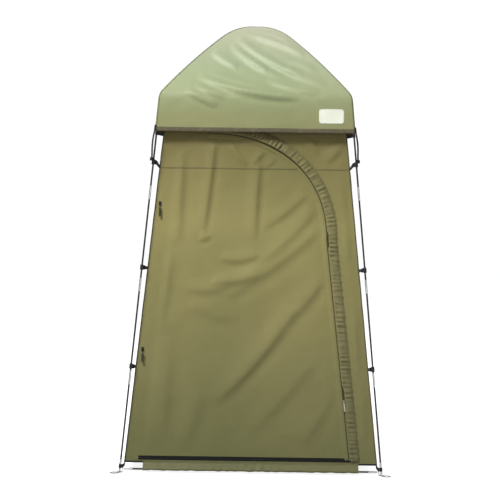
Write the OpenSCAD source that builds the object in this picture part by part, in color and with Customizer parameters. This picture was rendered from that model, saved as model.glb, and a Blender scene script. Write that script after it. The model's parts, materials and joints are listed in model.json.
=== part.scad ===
/* [Frame] */
// Distance between neighbouring feet, pole centre to pole centre
foot_span = 1220; // [1000:10:1500]
// Distance between neighbouring shoulders, pole centre to pole centre
shoulder_span = 898; // [800:2:980]
// Height of the shoulder bends of the lower pole
shoulder_height = 1762; // [1600:2:1900]
// Slope of the rafters above the shoulders
eave_angle = 40; // [36:1:44]
// Slope where the rafter curve meets the crown curve
crown_angle = 31.6; // [28:0.1:34]
// Bend radius of the crown
crown_radius = 450; // [350:10:550]
// Bend radius of the shoulder elbows
elbow_radius = 60; // [40:5:80]

/* [Poles] */
// Outside diameter of the fibreglass tube
pole_dia = 8.5; // [7.5:0.5:9.5]
// Bore of the fibreglass tube
pole_bore = 4.6; // [4:0.1:5]
// Outside diameter of a ferrule
ferrule_dia = 10; // [9.8:0.1:11]
// Length of a ferrule
ferrule_len = 65; // [50:5:80]
// Diameter of the shock cord
cord_dia = 3; // [2:0.5:3.5]
// Half length of the tube part of the sill pole
sill_half = 550; // [500:5:560]
// Height of the sill pole's axis above the ground
sill_height = 18; // [16:1:22]

/* [Walls] */
// Half width of the walls, measured at the ground
wall_half = 594.3; // [590:0.1:598]
// Inward lean of the walls
wall_lean = 5.807; // [5.5:0.001:6]
// Thickness of a wall panel
wall_thick = 3; // [2:0.5:4]
// Height of the lower edge of the walls
wall_base = 45; // [40:1:60]
// Height of the upper edge of the walls
wall_top = 1650; // [1640:1:1680]

/* [Door] */
// Distance from the left wall edge to the door's fold line
hinge_inset = 60; // [50:1:80]
// Height of the door's lower edge
door_base = 66; // [62:1:80]
// Height of the door's upper edge
door_top = 1586; // [1560:1:1588]
// Height where the straight side zip turns into the arch
spring_height = 1091; // [1000:1:1200]
// Sideways place of the zip at the spring height
spring_side = 341; // [330:1:370]
// Sideways place of the zip at the door's lower edge
zip_base_side = 457; // [430:1:470]
// Sideways place of the arch's crown
arch_centre = -206; // [-220:1:-120]
// Height of the zip slider when the tent stands closed
slider_height = 337; // [320:1:360]

/* [Fly] */
// Height of the fly's lower edge
hem_height = 1597; // [1595:1:1620]
// Distance from the pole's centre line to the inside of the fly
fly_gap = 7; // [6.5:0.5:9]
// Thickness of the fly
fly_thick = 2; // [1.5:0.5:3]
// Height of the fly's hem band
hem_band = 19; // [12:1:25]

/* [Hidden] */
$fn = 32;
root2 = sqrt(2);
foot_height = 7;
pole_lift = 9;
play = 0.05;
crown_rise = 16;
foot_t = foot_span / root2;
shoulder_t = shoulder_span / root2;
crown_t = crown_radius * sin(crown_angle);
joint_gap = 0.4;
tube_r = pole_dia / 2;
bore_r = pole_bore / 2;
ferrule_r = ferrule_dia / 2;
sleeve_r = tube_r + play;
cord_r = cord_dia / 2;
elbow_r = 5.3;
elbow_sleeve_r = 5.6;
elbow_sleeve = 30;
leg_joints = 4;
tip_len = 55;
tip_r = 4.9;
cord_inset = 60;
sill_tip_end = 590;
sill_y = -foot_span / 2;
ring_out = 23;
ring_bore = 15;
ring_thick = 4;
ring_offset = 31;
pin_r = 1.9;
pin_len = 44;
clip_heights = [1450, 955, 493];
clip_r = 8;
clip_len = 24;
lug_reach = 17;
strap_w = 15;
strap_t = 2;
strap_gap = 2.4;
piping_r = 2.4;
piping_inset = 1.5;
panel_inset = 4;
door_gap = 0.8;
tape_w = 12;
tape_t = 1.5;
flap_in = 14;
flap_out = 55;
flap_t = 8;
arch_power = 2.15;
arch_steps = 18;
band_start = 8;
slider_lift = tape_t + 0.4;
slider_track = 6.5;
bridge_z = 4.9;
toggle_heights = [1240, 556];
toggle_inset = 24;
toggle_cord_z = 3.2;

// Legs: azimuth of each corner, and how much higher its pole runs at the roof
FRONT_LEFT = [225, 0];
FRONT_RIGHT = [315, pole_lift];
REAR_RIGHT = [45, 0];
REAR_LEFT = [135, pole_lift];
CORNERS = [FRONT_LEFT, FRONT_RIGHT, REAR_RIGHT, REAR_LEFT];

// Pole path, in the upright plane through two opposite feet: x outwards, y up
function leg_angle(lift) = atan2(shoulder_height + lift - foot_height, foot_t - shoulder_t);
function leg_t(z, lift) = foot_t - (z - foot_height) / tan(leg_angle(lift));
function leg_point(z, lift) = [leg_t(z, lift), z];
function elbow_tangent(lift) = elbow_radius * tan((leg_angle(lift) - eave_angle) / 2);
function leg_top(lift) = [
  shoulder_t + elbow_tangent(lift) * cos(leg_angle(lift)),
  shoulder_height + lift - elbow_tangent(lift) * sin(leg_angle(lift))
];
function rafter_foot(lift) = [
  shoulder_t - elbow_tangent(lift) * cos(eave_angle),
  shoulder_height + lift + elbow_tangent(lift) * sin(eave_angle)
];
function elbow_centre(lift) = leg_top(lift)
  - elbow_radius * [sin(leg_angle(lift)), cos(leg_angle(lift))];
function rafter_radius(lift) = (rafter_foot(lift).x - crown_t) / (sin(eave_angle) - sin(crown_angle));
function rafter_centre(lift) = rafter_foot(lift)
  - rafter_radius(lift) * [sin(eave_angle), cos(eave_angle)];
function crown_centre(lift) = rafter_centre(lift)
  + (rafter_radius(lift) - crown_radius) * [sin(crown_angle), cos(crown_angle)];
function along(a, b, s) = a + (b - a) * s / norm(b - a);

// Walls: half width at a height measured up the slope, and the slope length of a height
function slope(z) = z / cos(wall_lean);
function half_at(h) = wall_half - h * sin(wall_lean);
function corner_t(z) = root2 * (half_at(slope(z)) - piping_inset) + piping_r + 0.2;
function hinge_u(h) = hinge_inset - half_at(h);

// Zip line: the straight side from the door's foot, then a squarish quarter arch to the crown
function zip_u(h) = spring_side
  + (zip_base_side - spring_side) * (slope(spring_height) - h) / slope(spring_height - door_base);
function arch_point(a, d) = [
  arch_centre + (spring_side - arch_centre + d) * pow(cos(a), 2 / arch_power),
  slope(spring_height) + (slope(door_top - spring_height) + d) * pow(sin(a), 2 / arch_power)
];
function zip_line(d, h) = concat(
  [[zip_u(h) + d, h]],
  [for (i = [0:arch_steps]) arch_point(90 * i / arch_steps, d)]
);
function turned(list) = [for (i = [len(list) - 1:-1:0]) list[i]];
function door_outline(d, e) = concat(
  [[hinge_u(slope(door_base) - d) + e, slope(door_base) - d]],
  zip_line(d, slope(door_base) - d),
  [[hinge_u(slope(door_top) + d) + e, slope(door_top) + d]]
);

// Fly: points of the ridge, a set distance outside the upper pole, from the hem to the crown
function ridge_at(c, r, a, off) = c + (r + off) * [cos(a), sin(a)];
function skirt_point(z, off) = leg_point(z, pole_lift)
  + off / sin(leg_angle(pole_lift)) * [1, 0];
function fly_ridge(off, rise) = concat(
  [for (z = [hem_height, hem_height + hem_band, 1680]) skirt_point(z, off)],
  [for (i = [0:4]) ridge_at(elbow_centre(pole_lift), elbow_radius,
    90 - leg_angle(pole_lift) + (leg_angle(pole_lift) - eave_angle) * i / 4, off)],
  [for (i = [0:3]) ridge_at(rafter_centre(pole_lift), rafter_radius(pole_lift),
    90 - eave_angle + (eave_angle - crown_angle) * i / 3, off + rise * i / 6)],
  [for (i = [1:3]) ridge_at(crown_centre(pole_lift), crown_radius,
    90 - crown_angle + crown_angle * i / 3.4, off + rise * (0.5 + i / 7))]
);
function corner_round(t) = min(15, 0.6 * t);
function ring_side(t) = (t - corner_round(t)) / root2 + corner_round(t);
function ring_points(t, z) = [
  for (q = [0:3]) for (a = [0:30:90])
    let (c = ring_side(t) - corner_round(t), r = corner_round(t))
    let (x = c + r * cos(a), y = c + r * sin(a))
    [x * cos(90 * q) - y * sin(90 * q), x * sin(90 * q) + y * cos(90 * q), z]
];

module pole_plane(az) {
  rotate([90, 0, az]) children();
}

module rod(a, b, r) {
  d = b - a;
  translate([a.x, a.y, 0])
    rotate([0, 90, atan2(d.y, d.x)])
      cylinder(h = norm(d), r = r);
}

module tube(a, b, outer, inner) {
  difference() {
    rod(a, b, outer);
    rod(along(a, b, -1), along(b, a, -1), inner);
  }
}

module bend(c, r, from, to, outer, inner) {
  translate([c.x, c.y, 0])
    rotate([0, 0, from])
      rotate_extrude(angle = to - from)
        translate([r, 0])
          difference() {
            circle(r = outer);
            if (inner > 0) circle(r = inner);
          }
}

// Puts its children on a leg at a height: x away from the tent, y up the leg
module on_leg(corner, z) {
  pole_plane(corner[0])
    translate([leg_t(z, corner[1]), z, 0])
      rotate([0, 0, 90 - leg_angle(corner[1])])
        children();
}

// Puts its children on a wall: x sideways, y up the slope, z out of the wall
module on_wall(side) {
  rotate([0, 0, 90 * side])
    translate([0, -wall_half, 0])
      rotate([90 - wall_lean, 0, 0])
        children();
}

module leg_tubes(corner) {
  lift = corner[1];
  foot = leg_point(foot_height, lift);
  step = norm(leg_top(lift) - foot) / leg_joints;
  pole_plane(corner[0])
    for (i = [0:leg_joints - 1])
      tube(along(foot, leg_top(lift), step * i), along(foot, leg_top(lift), step * (i + 1) - joint_gap),
        tube_r, bore_r);
}

module front_left_leg_tubes() { color("#202124") leg_tubes(FRONT_LEFT); }
module front_right_leg_tubes() { color("#202124") leg_tubes(FRONT_RIGHT); }
module rear_left_leg_tubes() { color("#202124") leg_tubes(REAR_LEFT); }
module rear_right_leg_tubes() { color("#202124") leg_tubes(REAR_RIGHT); }

// Crown tube across the middle and a rafter tube on each side of it
module roof_tubes(corner) {
  lift = corner[1];
  gap = joint_gap / rafter_radius(lift) * 180 / PI;
  pole_plane(corner[0]) {
    bend(crown_centre(lift), crown_radius, 90 - crown_angle, 90 + crown_angle, tube_r, bore_r);
    for (side = [0, 1])
      mirror([side, 0, 0])
        bend(rafter_centre(lift), rafter_radius(lift), 90 - eave_angle, 90 - crown_angle - gap,
          tube_r, bore_r);
  }
}

module lower_pole_roof_tubes() { color("#202124") roof_tubes(REAR_RIGHT); }
module upper_pole_roof_tubes() { color("#202124") roof_tubes(REAR_LEFT); }

// Bent connector at each shoulder, with a straight socket for the tube on either side
module shoulder_elbows() {
  lap = 1;
  color("silver")
    for (corner = CORNERS) {
      lift = corner[1];
      top = leg_top(lift);
      foot = leg_point(foot_height, lift);
      eave = rafter_foot(lift);
      up = [-cos(eave_angle), sin(eave_angle)];
      pole_plane(corner[0])
        difference() {
          union() {
            bend(elbow_centre(lift), elbow_radius, 90 - leg_angle(lift), 90 - eave_angle, elbow_r, 0);
            rod(along(top, foot, -lap), along(top, foot, elbow_sleeve), elbow_sleeve_r);
            rod(eave - lap * up, eave + elbow_sleeve * up, elbow_sleeve_r);
          }
          bend(elbow_centre(lift), elbow_radius, 90 - leg_angle(lift), 90 - eave_angle, bore_r, 0);
          rod(along(top, foot, -0.2), along(top, foot, elbow_sleeve + lap), sleeve_r);
          rod(eave - 0.2 * up, eave + (elbow_sleeve + lap) * up, sleeve_r + 0.15);
        }
    }
}

module leg_ferrules() {
  color("silver")
    for (corner = CORNERS) {
      lift = corner[1];
      foot = leg_point(foot_height, lift);
      step = norm(leg_top(lift) - foot) / leg_joints;
      pole_plane(corner[0])
        for (i = [1:leg_joints - 1])
          tube(along(foot, leg_top(lift), step * i - ferrule_len / 2),
            along(foot, leg_top(lift), step * i + ferrule_len / 2), ferrule_r, sleeve_r);
    }
}

// Ferrule on the upper end of each rafter tube, against the crown tube
module roof_ferrules() {
  color("silver")
    for (corner = CORNERS) {
      r = rafter_radius(corner[1]);
      joint = 90 - crown_angle - joint_gap / r * 180 / PI;
      pole_plane(corner[0])
        bend(rafter_centre(corner[1]), r, joint - ferrule_len / r * 180 / PI, joint,
          ferrule_r, sleeve_r);
    }
}

module leg_tips() {
  color("silver")
    for (corner = CORNERS) {
      foot = leg_point(foot_height, corner[1]);
      pole_plane(corner[0])
        tube(foot, along(foot, leg_top(corner[1]), tip_len), tip_r, sleeve_r);
    }
}

// Centre line of half a pole, from just above the foot to just short of the crown's middle
function half_path(lift) = concat(
  [along(leg_point(foot_height, lift), leg_top(lift), cord_inset)],
  [for (i = [0:5]) ridge_at(elbow_centre(lift), elbow_radius,
    90 - leg_angle(lift) + (leg_angle(lift) - eave_angle) * i / 5, 0)],
  [for (i = [1:4]) ridge_at(rafter_centre(lift), rafter_radius(lift),
    90 - eave_angle + (eave_angle - crown_angle) * i / 4, 0)],
  [for (i = [1:5]) ridge_at(crown_centre(lift), crown_radius,
    90 - crown_angle + crown_angle * i / 5.5, 0)]
);
function mirrored(list) = [for (p = turned(list)) [-p.x, p.y]];

module shock_cord(corner) {
  sides = 8;
  path = concat(half_path(corner[1]), mirrored(half_path(corner[1])));
  last = len(path) - 1;
  rings = [
    for (i = [0:last])
      let (d = path[min(i + 1, last)] - path[max(i - 1, 0)], n = [-d.y, d.x] / norm(d))
      for (j = [0:sides - 1])
        let (a = 360 * j / sides)
        [path[i].x + cord_r * cos(a) * n.x, path[i].y + cord_r * cos(a) * n.y, cord_r * sin(a)]
  ];
  walls = [
    for (i = [0:last - 1]) for (j = [0:sides - 1])
      let (a = sides * i + j, b = sides * i + (j + 1) % sides)
      each [[a, b, a + sides], [b, b + sides, a + sides]]
  ];
  ends = [[for (j = [sides - 1:-1:0]) j], [for (j = [0:sides - 1]) sides * last + j]];
  pole_plane(corner[0])
    polyhedron(points = rings, faces = concat(walls, ends));
}

module lower_pole_shock_cord() { color("white") shock_cord(REAR_RIGHT); }
module upper_pole_shock_cord() { color("white") shock_cord(REAR_LEFT); }

module sill_line() {
  translate([0, sill_y, sill_height]) rotate([0, 90, 0]) children();
}

module sill_hollow(from, to, outer, inner) {
  translate([0, 0, from])
    difference() {
      cylinder(h = to - from, r = outer);
      translate([0, 0, -1]) cylinder(h = to - from + 2, r = inner);
    }
}

module sill_pole_tubes() {
  third = 2 * sill_half / 3;
  color("#202124")
    sill_line()
      for (i = [0:2])
        sill_hollow(third * i - sill_half, third * (i + 1) - sill_half - joint_gap, tube_r, bore_r);
}

module sill_ferrules() {
  color("silver")
    sill_line()
      for (s = [-1, 1])
        sill_hollow(s * sill_half / 3 - ferrule_len / 2, s * sill_half / 3 + ferrule_len / 2,
          ferrule_r, sleeve_r);
}

module sill_tips() {
  color("silver")
    sill_line()
      for (s = [0, 1])
        mirror([0, 0, s]) sill_hollow(sill_half, sill_tip_end, tip_r, bore_r);
}

module sill_shock_cord() {
  color("white")
    sill_line()
      cylinder(h = 2 * sill_half - cord_inset - 20, r = cord_r, center = true);
}

// Flat ring with a tab under the leg, and the pin that stands up in the leg's end
module ground_ring(corner) {
  pole_plane(corner[0])
    rotate([-90, 0, 0])
      difference() {
        union() {
          translate([foot_t + ring_offset, 0, 0]) cylinder(h = ring_thick, r = ring_out);
          translate([foot_t, 0, 0]) cylinder(h = ring_thick, r = ring_out / 2 + 2);
          translate([foot_t, -ring_out / 2, 0]) cube([ring_offset, ring_out, ring_thick]);
        }
        translate([foot_t + ring_offset, 0, -1]) cylinder(h = ring_thick + 2, r = ring_bore);
      }
  on_leg(corner, foot_height)
    translate([0, -foot_height + ring_thick - 1, 0])
      rotate([-90, 0, 0])
        cylinder(h = pin_len, r = pin_r);
}

// Bent pin that rises from the ring and runs into the sill pole's end
module sill_pin() {
  post = sill_tip_end + 8;
  translate([post, sill_y, ring_thick - 1])
    cylinder(h = sill_height - ring_thick + 1, r = pin_r);
  translate([post, sill_y, sill_height]) sphere(r = pin_r);
  translate([post, sill_y, sill_height]) rotate([0, -90, 0]) cylinder(h = 60, r = pin_r);
}

module front_ground_rings() {
  color("gainsboro") {
    union() {
      ground_ring(FRONT_LEFT);
      mirror([1, 0, 0]) sill_pin();
    }
    union() {
      ground_ring(FRONT_RIGHT);
      sill_pin();
    }
  }
}

module rear_ground_rings() {
  color("gainsboro")
    for (corner = [REAR_LEFT, REAR_RIGHT]) ground_ring(corner);
}

// Webbing loop that ties the two poles together where they cross
module crossing_strap() {
  inner_w = 29;
  inner_low = crown_centre(0).y + crown_radius - tube_r - 0.3;
  inner_h = pole_lift + 2 * tube_r + 0.6;
  wide = 15;
  thick = 1.5;
  color("#202124")
    difference() {
      translate([-inner_w / 2 - thick, -wide / 2, inner_low - thick])
        cube([inner_w + 2 * thick, wide, inner_h + 2 * thick]);
      translate([-inner_w / 2, -wide / 2 - 1, inner_low])
        cube([inner_w, wide + 2, inner_h]);
    }
}

module wall_outline() {
  low = slope(wall_base);
  high = slope(wall_top);
  a = half_at(low) - panel_inset;
  b = half_at(high) - panel_inset;
  polygon([[-a, low], [a, low], [b, high], [-b, high]]);
}

module plain_wall(side) {
  on_wall(side)
    translate([0, 0, -wall_thick])
      linear_extrude(height = wall_thick) wall_outline();
}

module front_wall() {
  color("#6b6a38")
    on_wall(0)
      translate([0, 0, -wall_thick])
        linear_extrude(height = wall_thick)
          difference() {
            wall_outline();
            polygon(door_outline(door_gap, 0));
          }
}

module right_wall() { color("#656436") plain_wall(1); }
module rear_wall() { color("#656436") plain_wall(2); }
module left_wall() { color("#656436") plain_wall(3); }

// Round piping in the seam of each wall corner
module corner_piping() {
  low = wall_base;
  high = wall_top;
  color("#3a3c2c")
    for (corner = CORNERS)
      pole_plane(corner[0])
        rod([corner_t(low) - piping_r - 0.2, low], [corner_t(high) - piping_r - 0.2, high], piping_r);
}

module wall_band(side, low, high, inner, outer) {
  a = slope(low);
  b = slope(high);
  on_wall(side)
    translate([0, 0, inner])
      linear_extrude(height = outer - inner)
        polygon([
          [-half_at(a) + panel_inset + 3, a], [half_at(a) - panel_inset - 3, a],
          [half_at(b) - panel_inset - 3, b], [-half_at(b) + panel_inset + 3, b]
        ]);
}

module top_hem_webbing() {
  color("#202124")
    for (side = [0:3])
      wall_band(side, wall_top - 25, wall_top, -wall_thick - 1.5, -wall_thick);
}

module base_hem_binding() {
  color("#202124")
    for (side = [0:3]) wall_band(side, wall_base, wall_base + 10, 0, 1.2);
}

// Fabric sleeve below the doorway that holds the sill pole
module sill_sleeve() {
  half = 503;
  skin = 1.2;
  reach = ferrule_r + 1.6;
  lip = [wall_half - slope(wall_base) * sin(wall_lean) + 1, wall_base - 3.5];
  axis = [-sill_y, sill_height];
  color("#4c4d2c")
    translate([-half, 0, 0])
      rotate([90, 0, 90])
        linear_extrude(height = 2 * half)
          difference() {
            hull() {
              translate([-axis.x, axis.y]) circle(r = reach);
              translate([-lip.x, lip.y]) circle(r = 3);
            }
            hull() {
              translate([-axis.x, axis.y]) circle(r = reach - skin);
              translate([-lip.x, lip.y]) circle(r = 3 - skin);
            }
          }
}

module zip_band(from, to, thick) {
  low = slope(door_base);
  linear_extrude(height = thick)
    polygon(concat(zip_line(from, low), turned(zip_line(to, low))));
}

// Zip tape sewn to the edge of the doorway: up the side, over the arch and along the foot
module zip_wall_tape() {
  low = slope(door_base);
  color("#26271f")
    on_wall(0) {
      zip_band(door_gap, tape_w, tape_t);
      translate([hinge_u(low) + band_start, low - 8, 0])
        cube([zip_u(low) + tape_w - hinge_u(low) - band_start, 8 - door_gap, tape_t]);
    }
}

// Gathered flap beside the zip, on the fixed side
module zip_cover_flap() {
  color("#55552c") on_wall(0) zip_band(flap_in, flap_out, flap_t);
}

module toggle_anchors() {
  color("#202124")
    on_wall(0)
      for (z = toggle_heights) {
        h = slope(z);
        translate([toggle_inset - half_at(h) - 6, h + 3, 0]) cube([12, 20, 1.6]);
      }
}

module corner_strap(corner, z) {
  lift = corner[1];
  reach = leg_t(z, lift) - lug_reach - 0.3 - corner_t(z + strap_w / 2) - strap_gap;
  on_leg(corner, z)
    translate([-lug_reach - 0.3 - reach, -strap_w / 2, -strap_t / 2])
      cube([reach, strap_w, strap_t]);
}

// Snap clip round the leg, open outwards, with a slotted lug for the webbing
module pole_clip(corner, z) {
  on_leg(corner, z)
    difference() {
      union() {
        rotate([90, 0, 0]) cylinder(h = clip_len, r = clip_r, center = true);
        translate([-lug_reach, -10, -4]) cube([lug_reach - 3, 20, 8]);
      }
      rotate([90, 0, 0]) cylinder(h = clip_len + 2, r = tube_r + 0.1, center = true);
      translate([0, -clip_len, -3.2]) cube([clip_r + 2, 2 * clip_len, 6.4]);
      translate([-lug_reach + 3, -strap_w / 2 - 0.5, -6]) cube([3, strap_w + 1, 12]);
    }
}

module straps_at(z) { for (corner = CORNERS) corner_strap(corner, z); }
module clips_at(z) { for (corner = CORNERS) pole_clip(corner, z); }

module upper_clip_straps() { color("#202124") straps_at(clip_heights[0]); }
module upper_pole_clips() { color("#17181a") clips_at(clip_heights[0]); }
module middle_clip_straps() { color("#202124") straps_at(clip_heights[1]); }
module middle_pole_clips() { color("#17181a") clips_at(clip_heights[1]); }
module lower_clip_straps() { color("#202124") straps_at(clip_heights[2]); }
module lower_pole_clips() { color("#17181a") clips_at(clip_heights[2]); }

// Webbing loop round each leg just below the fly's hem, running in to the wall corner
module top_corner_straps() {
  z = 1585;
  loop_r = 6.3;
  loop_h = 14;
  color("#202124")
    for (corner = CORNERS) {
      reach = leg_t(z, corner[1]) - corner_t(z + loop_h / 2) - strap_gap;
      on_leg(corner, z)
        difference() {
          union() {
            rotate([90, 0, 0]) cylinder(h = loop_h, r = loop_r, center = true);
            translate([-reach, -loop_h / 2, -strap_t / 2]) cube([reach, loop_h, strap_t]);
          }
          rotate([90, 0, 0]) cylinder(h = loop_h + 2, r = tube_r + 0.2, center = true);
        }
    }
}

// Webbing from each lower wall corner down to a loop round the leg's tip
module base_corner_straps() {
  z = 30;
  loop_r = 7;
  loop_h = 18;
  color("#202124")
    for (corner = CORNERS) {
      reach = leg_t(z, corner[1]) - corner_t(wall_base) + 4;
      on_leg(corner, z)
        difference() {
          union() {
            rotate([90, 0, 0]) cylinder(h = loop_h, r = loop_r, center = true);
            translate([-reach, -loop_h / 2, -strap_t / 2]) cube([reach, loop_h, strap_t]);
          }
          rotate([90, 0, 0]) cylinder(h = loop_h + 2, r = tip_r + 0.2, center = true);
        }
    }
}

module door_panel() {
  color("#6f6e3a")
    on_wall(0)
      translate([0, 0, -wall_thick])
        linear_extrude(height = wall_thick) polygon(door_outline(0, 1));
}

// Zip tape sewn to the door's own edge
module zip_door_tape() {
  low = slope(door_base);
  color("#26271f")
    on_wall(0) {
      zip_band(-tape_w, 0, tape_t);
      translate([hinge_u(low) + band_start, low, 0])
        cube([zip_u(low) - tape_w - hinge_u(low) - band_start, 6, tape_t]);
    }
}

// Puts its children on the zip track at the slider: y up the track, z out of the wall
module on_track() {
  h = slope(slider_height);
  lean = atan2(zip_base_side - spring_side, slope(spring_height - door_base));
  on_wall(0)
    translate([zip_u(h) + slider_track, h, slider_lift])
      rotate([0, 0, lean])
        children();
}

module zip_slider() {
  color("#c9cac8")
    on_track() {
      linear_extrude(height = 3)
        polygon([[-2.8, -8], [2.8, -8], [4.4, 2], [4.4, 8], [-4.4, 8], [-4.4, 2]]);
      difference() {
        translate([-1.5, -6, 2.5]) cube([3, 12, 5.7]);
        translate([-2.5, -3, 3.4]) cube([5, 6, 3.2]);
      }
    }
}

// Pull tab whose cross bar turns in the slider's bridge
module zip_pull_tab() {
  color("#e8e8e2")
    on_track()
      translate([0, 0, bridge_z])
        difference() {
          union() {
            translate([-3.5, -44, -0.8]) cube([7, 44, 1.6]);
            rotate([0, 90, 0]) cylinder(h = 7, r = 0.8, center = true);
          }
          translate([-2.1, -7.4, -2]) cube([4.2, 6.6, 4]);
          translate([0, -38, -2]) cylinder(h = 4, r = 1.6);
        }
}

module on_toggle(i) {
  h = slope(toggle_heights[i]);
  on_wall(0)
    translate([toggle_inset - half_at(h), h, toggle_cord_z])
      children();
}

module toggle_barrel(i) {
  on_toggle(i)
    difference() {
      translate([0, -48, 6]) rotate([-90, 0, 0]) cylinder(h = 44, r = 4.5);
      translate([0, -26, -2]) cylinder(h = 16, r = 1.4);
      for (y = [-48, -7.5])
        translate([0, y, 6])
          rotate([-90, 0, 0])
            difference() {
              cylinder(h = 3.5, r = 6);
              translate([0, 0, -1]) cylinder(h = 5.5, r = 3.9);
            }
    }
}

// Elastic loop that the toggle hangs on
module toggle_cord(i) {
  thick = 1.2;
  on_toggle(i) {
    translate([0, -26, 0]) rotate([-90, 0, 0]) cylinder(h = 26, r = thick);
    translate([0, -26, -thick]) cylinder(h = 14, r = thick);
    translate([0, -26, 12]) cylinder(h = 1.8, r = 2.6);
  }
}

module upper_toggle() { color("#2b2a22") toggle_barrel(0); }
module upper_toggle_cord() { color("#202124") toggle_cord(0); }
module lower_toggle() { color("#2b2a22") toggle_barrel(1); }
module lower_toggle_cord() { color("#202124") toggle_cord(1); }

// Closed shell between an outer and an inner stack of rounded squares, each stack from the
// bottom up; a capped shell also closes over at the top
module square_shell(outer, inner, capped) {
  n = len(outer);
  m = 16;
  rings = concat(
    [for (p = outer) each ring_points(p.x, p.y)],
    [for (p = inner) each ring_points(p.x, p.y)]
  );
  tops = [[0, 0, outer[n - 1].y], [0, 0, inner[n - 1].y]];
  skins = [
    for (i = [0:n - 2]) for (j = [0:m - 1])
      let (a = m * i + j, b = m * i + (j + 1) % m)
      each [[a, a + m, b], [b, a + m, b + m], [a + m * n, b + m * n, a + m + m * n],
        [b + m * n, b + m + m * n, a + m + m * n]]
  ];
  foot_faces = [
    for (j = [0:m - 1])
      let (a = j, b = (j + 1) % m)
      each [[a, b, a + m * n], [b, b + m * n, a + m * n]]
  ];
  edge = m * (n - 1);
  rim_faces = [
    for (j = [0:m - 1])
      let (a = edge + j, b = edge + (j + 1) % m)
      each [[a, a + m * n, b], [b, a + m * n, b + m * n]]
  ];
  cap_faces = [
    for (j = [0:m - 1])
      let (a = edge + j, b = edge + (j + 1) % m)
      each [[a, 2 * m * n, b], [a + m * n, b + m * n, 2 * m * n + 1]]
  ];
  polyhedron(
    points = concat(rings, tops),
    faces = concat(skins, foot_faces, capped ? cap_faces : rim_faces)
  );
}

module fly_canopy() {
  color("#8d9663")
    square_shell(fly_ridge(fly_gap + fly_thick, crown_rise - tube_r - fly_gap),
      fly_ridge(fly_gap, crown_rise - tube_r - fly_gap), true);
}

module fly_hem_band() {
  inner = fly_gap + fly_thick + 0.1;
  levels = [hem_height, hem_height + hem_band];
  color("#5a5340")
    square_shell([for (z = levels) skirt_point(z, inner + 1)],
      [for (z = levels) skirt_point(z, inner)], false);
}

// Straps sewn outside the fly's lower corners, running down the legs to the upper clips
module fly_corner_straps() {
  low = 1470;
  high = 1625;
  out = fly_gap + fly_thick + 2.2;
  color("#202124")
    for (corner = CORNERS)
      on_leg(corner, low)
        translate([out, 0, -6]) cube([1.6, (high - low), 12]);
}

module fly_strap_hooks() {
  out = fly_gap + fly_thick + 2;
  color("#17181a")
    for (corner = CORNERS)
      on_leg(corner, 1470)
        difference() {
          translate([out, -16, -8]) cube([6, 15.8, 16]);
          translate([out + 2, -12, -9]) cube([3, 7, 18]);
        }
}

// Blank patch on the front of the fly's skirt
module fly_label_patch() {
  wide = 118;
  tall = 70;
  round_r = 8;
  low = 1640;
  gap = 0.3;
  out = ring_side(skirt_point(low, fly_gap + fly_thick).x);
  lean = atan((foot_t - shoulder_t) / root2 / (shoulder_height + pole_lift - foot_height));
  color("#dfe2d2")
    translate([300, -out, low])
      rotate([90 - lean, 0, 0])
        translate([0, 0, gap])
          linear_extrude(height = 0.8)
            union() {
              translate([0, round_r]) square([wide, tall - 2 * round_r]);
              translate([round_r, 0]) square([wide - 2 * round_r, tall]);
              for (x = [round_r, wide - round_r]) for (y = [round_r, tall - round_r])
                translate([x, y]) circle(r = round_r);
            }
}

front_left_leg_tubes();
front_right_leg_tubes();
rear_left_leg_tubes();
rear_right_leg_tubes();
lower_pole_roof_tubes();
upper_pole_roof_tubes();
shoulder_elbows();
leg_ferrules();
roof_ferrules();
leg_tips();
lower_pole_shock_cord();
upper_pole_shock_cord();
sill_pole_tubes();
sill_ferrules();
sill_tips();
sill_shock_cord();
front_ground_rings();
rear_ground_rings();
crossing_strap();
front_wall();
right_wall();
rear_wall();
left_wall();
corner_piping();
top_hem_webbing();
base_hem_binding();
sill_sleeve();
zip_wall_tape();
zip_cover_flap();
toggle_anchors();
top_corner_straps();
upper_clip_straps();
upper_pole_clips();
middle_clip_straps();
middle_pole_clips();
lower_clip_straps();
lower_pole_clips();
base_corner_straps();
door_panel();
zip_door_tape();
zip_slider();
zip_pull_tab();
upper_toggle();
upper_toggle_cord();
lower_toggle();
lower_toggle_cord();
fly_canopy();
fly_hem_band();
fly_corner_straps();
fly_strap_hooks();
fly_label_patch();
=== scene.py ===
"""Looks of a tall square privacy tent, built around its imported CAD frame."""
import json
import math
import random

import bmesh
import bpy
import numpy as np
from mathutils import Euler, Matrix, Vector


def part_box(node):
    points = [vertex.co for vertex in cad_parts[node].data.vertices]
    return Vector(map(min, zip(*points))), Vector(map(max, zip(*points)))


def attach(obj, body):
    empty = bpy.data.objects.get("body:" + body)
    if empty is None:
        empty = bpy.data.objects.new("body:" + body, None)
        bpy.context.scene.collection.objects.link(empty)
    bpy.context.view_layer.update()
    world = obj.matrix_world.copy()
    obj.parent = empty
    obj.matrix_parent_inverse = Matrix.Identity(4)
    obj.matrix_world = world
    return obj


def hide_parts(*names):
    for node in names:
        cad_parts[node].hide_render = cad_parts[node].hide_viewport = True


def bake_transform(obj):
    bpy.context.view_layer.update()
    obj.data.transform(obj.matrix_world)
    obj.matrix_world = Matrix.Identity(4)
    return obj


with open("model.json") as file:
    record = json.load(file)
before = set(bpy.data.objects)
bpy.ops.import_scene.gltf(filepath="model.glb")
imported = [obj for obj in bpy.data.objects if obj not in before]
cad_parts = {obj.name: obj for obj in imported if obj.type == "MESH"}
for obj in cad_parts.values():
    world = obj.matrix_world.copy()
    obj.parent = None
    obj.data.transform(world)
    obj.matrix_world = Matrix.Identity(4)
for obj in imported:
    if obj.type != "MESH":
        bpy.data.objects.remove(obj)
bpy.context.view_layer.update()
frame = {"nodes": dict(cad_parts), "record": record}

# ---------------------------------------------------------------- sizes, in metres
# From the frame
wall_low, wall_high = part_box("front_wall")
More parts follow.
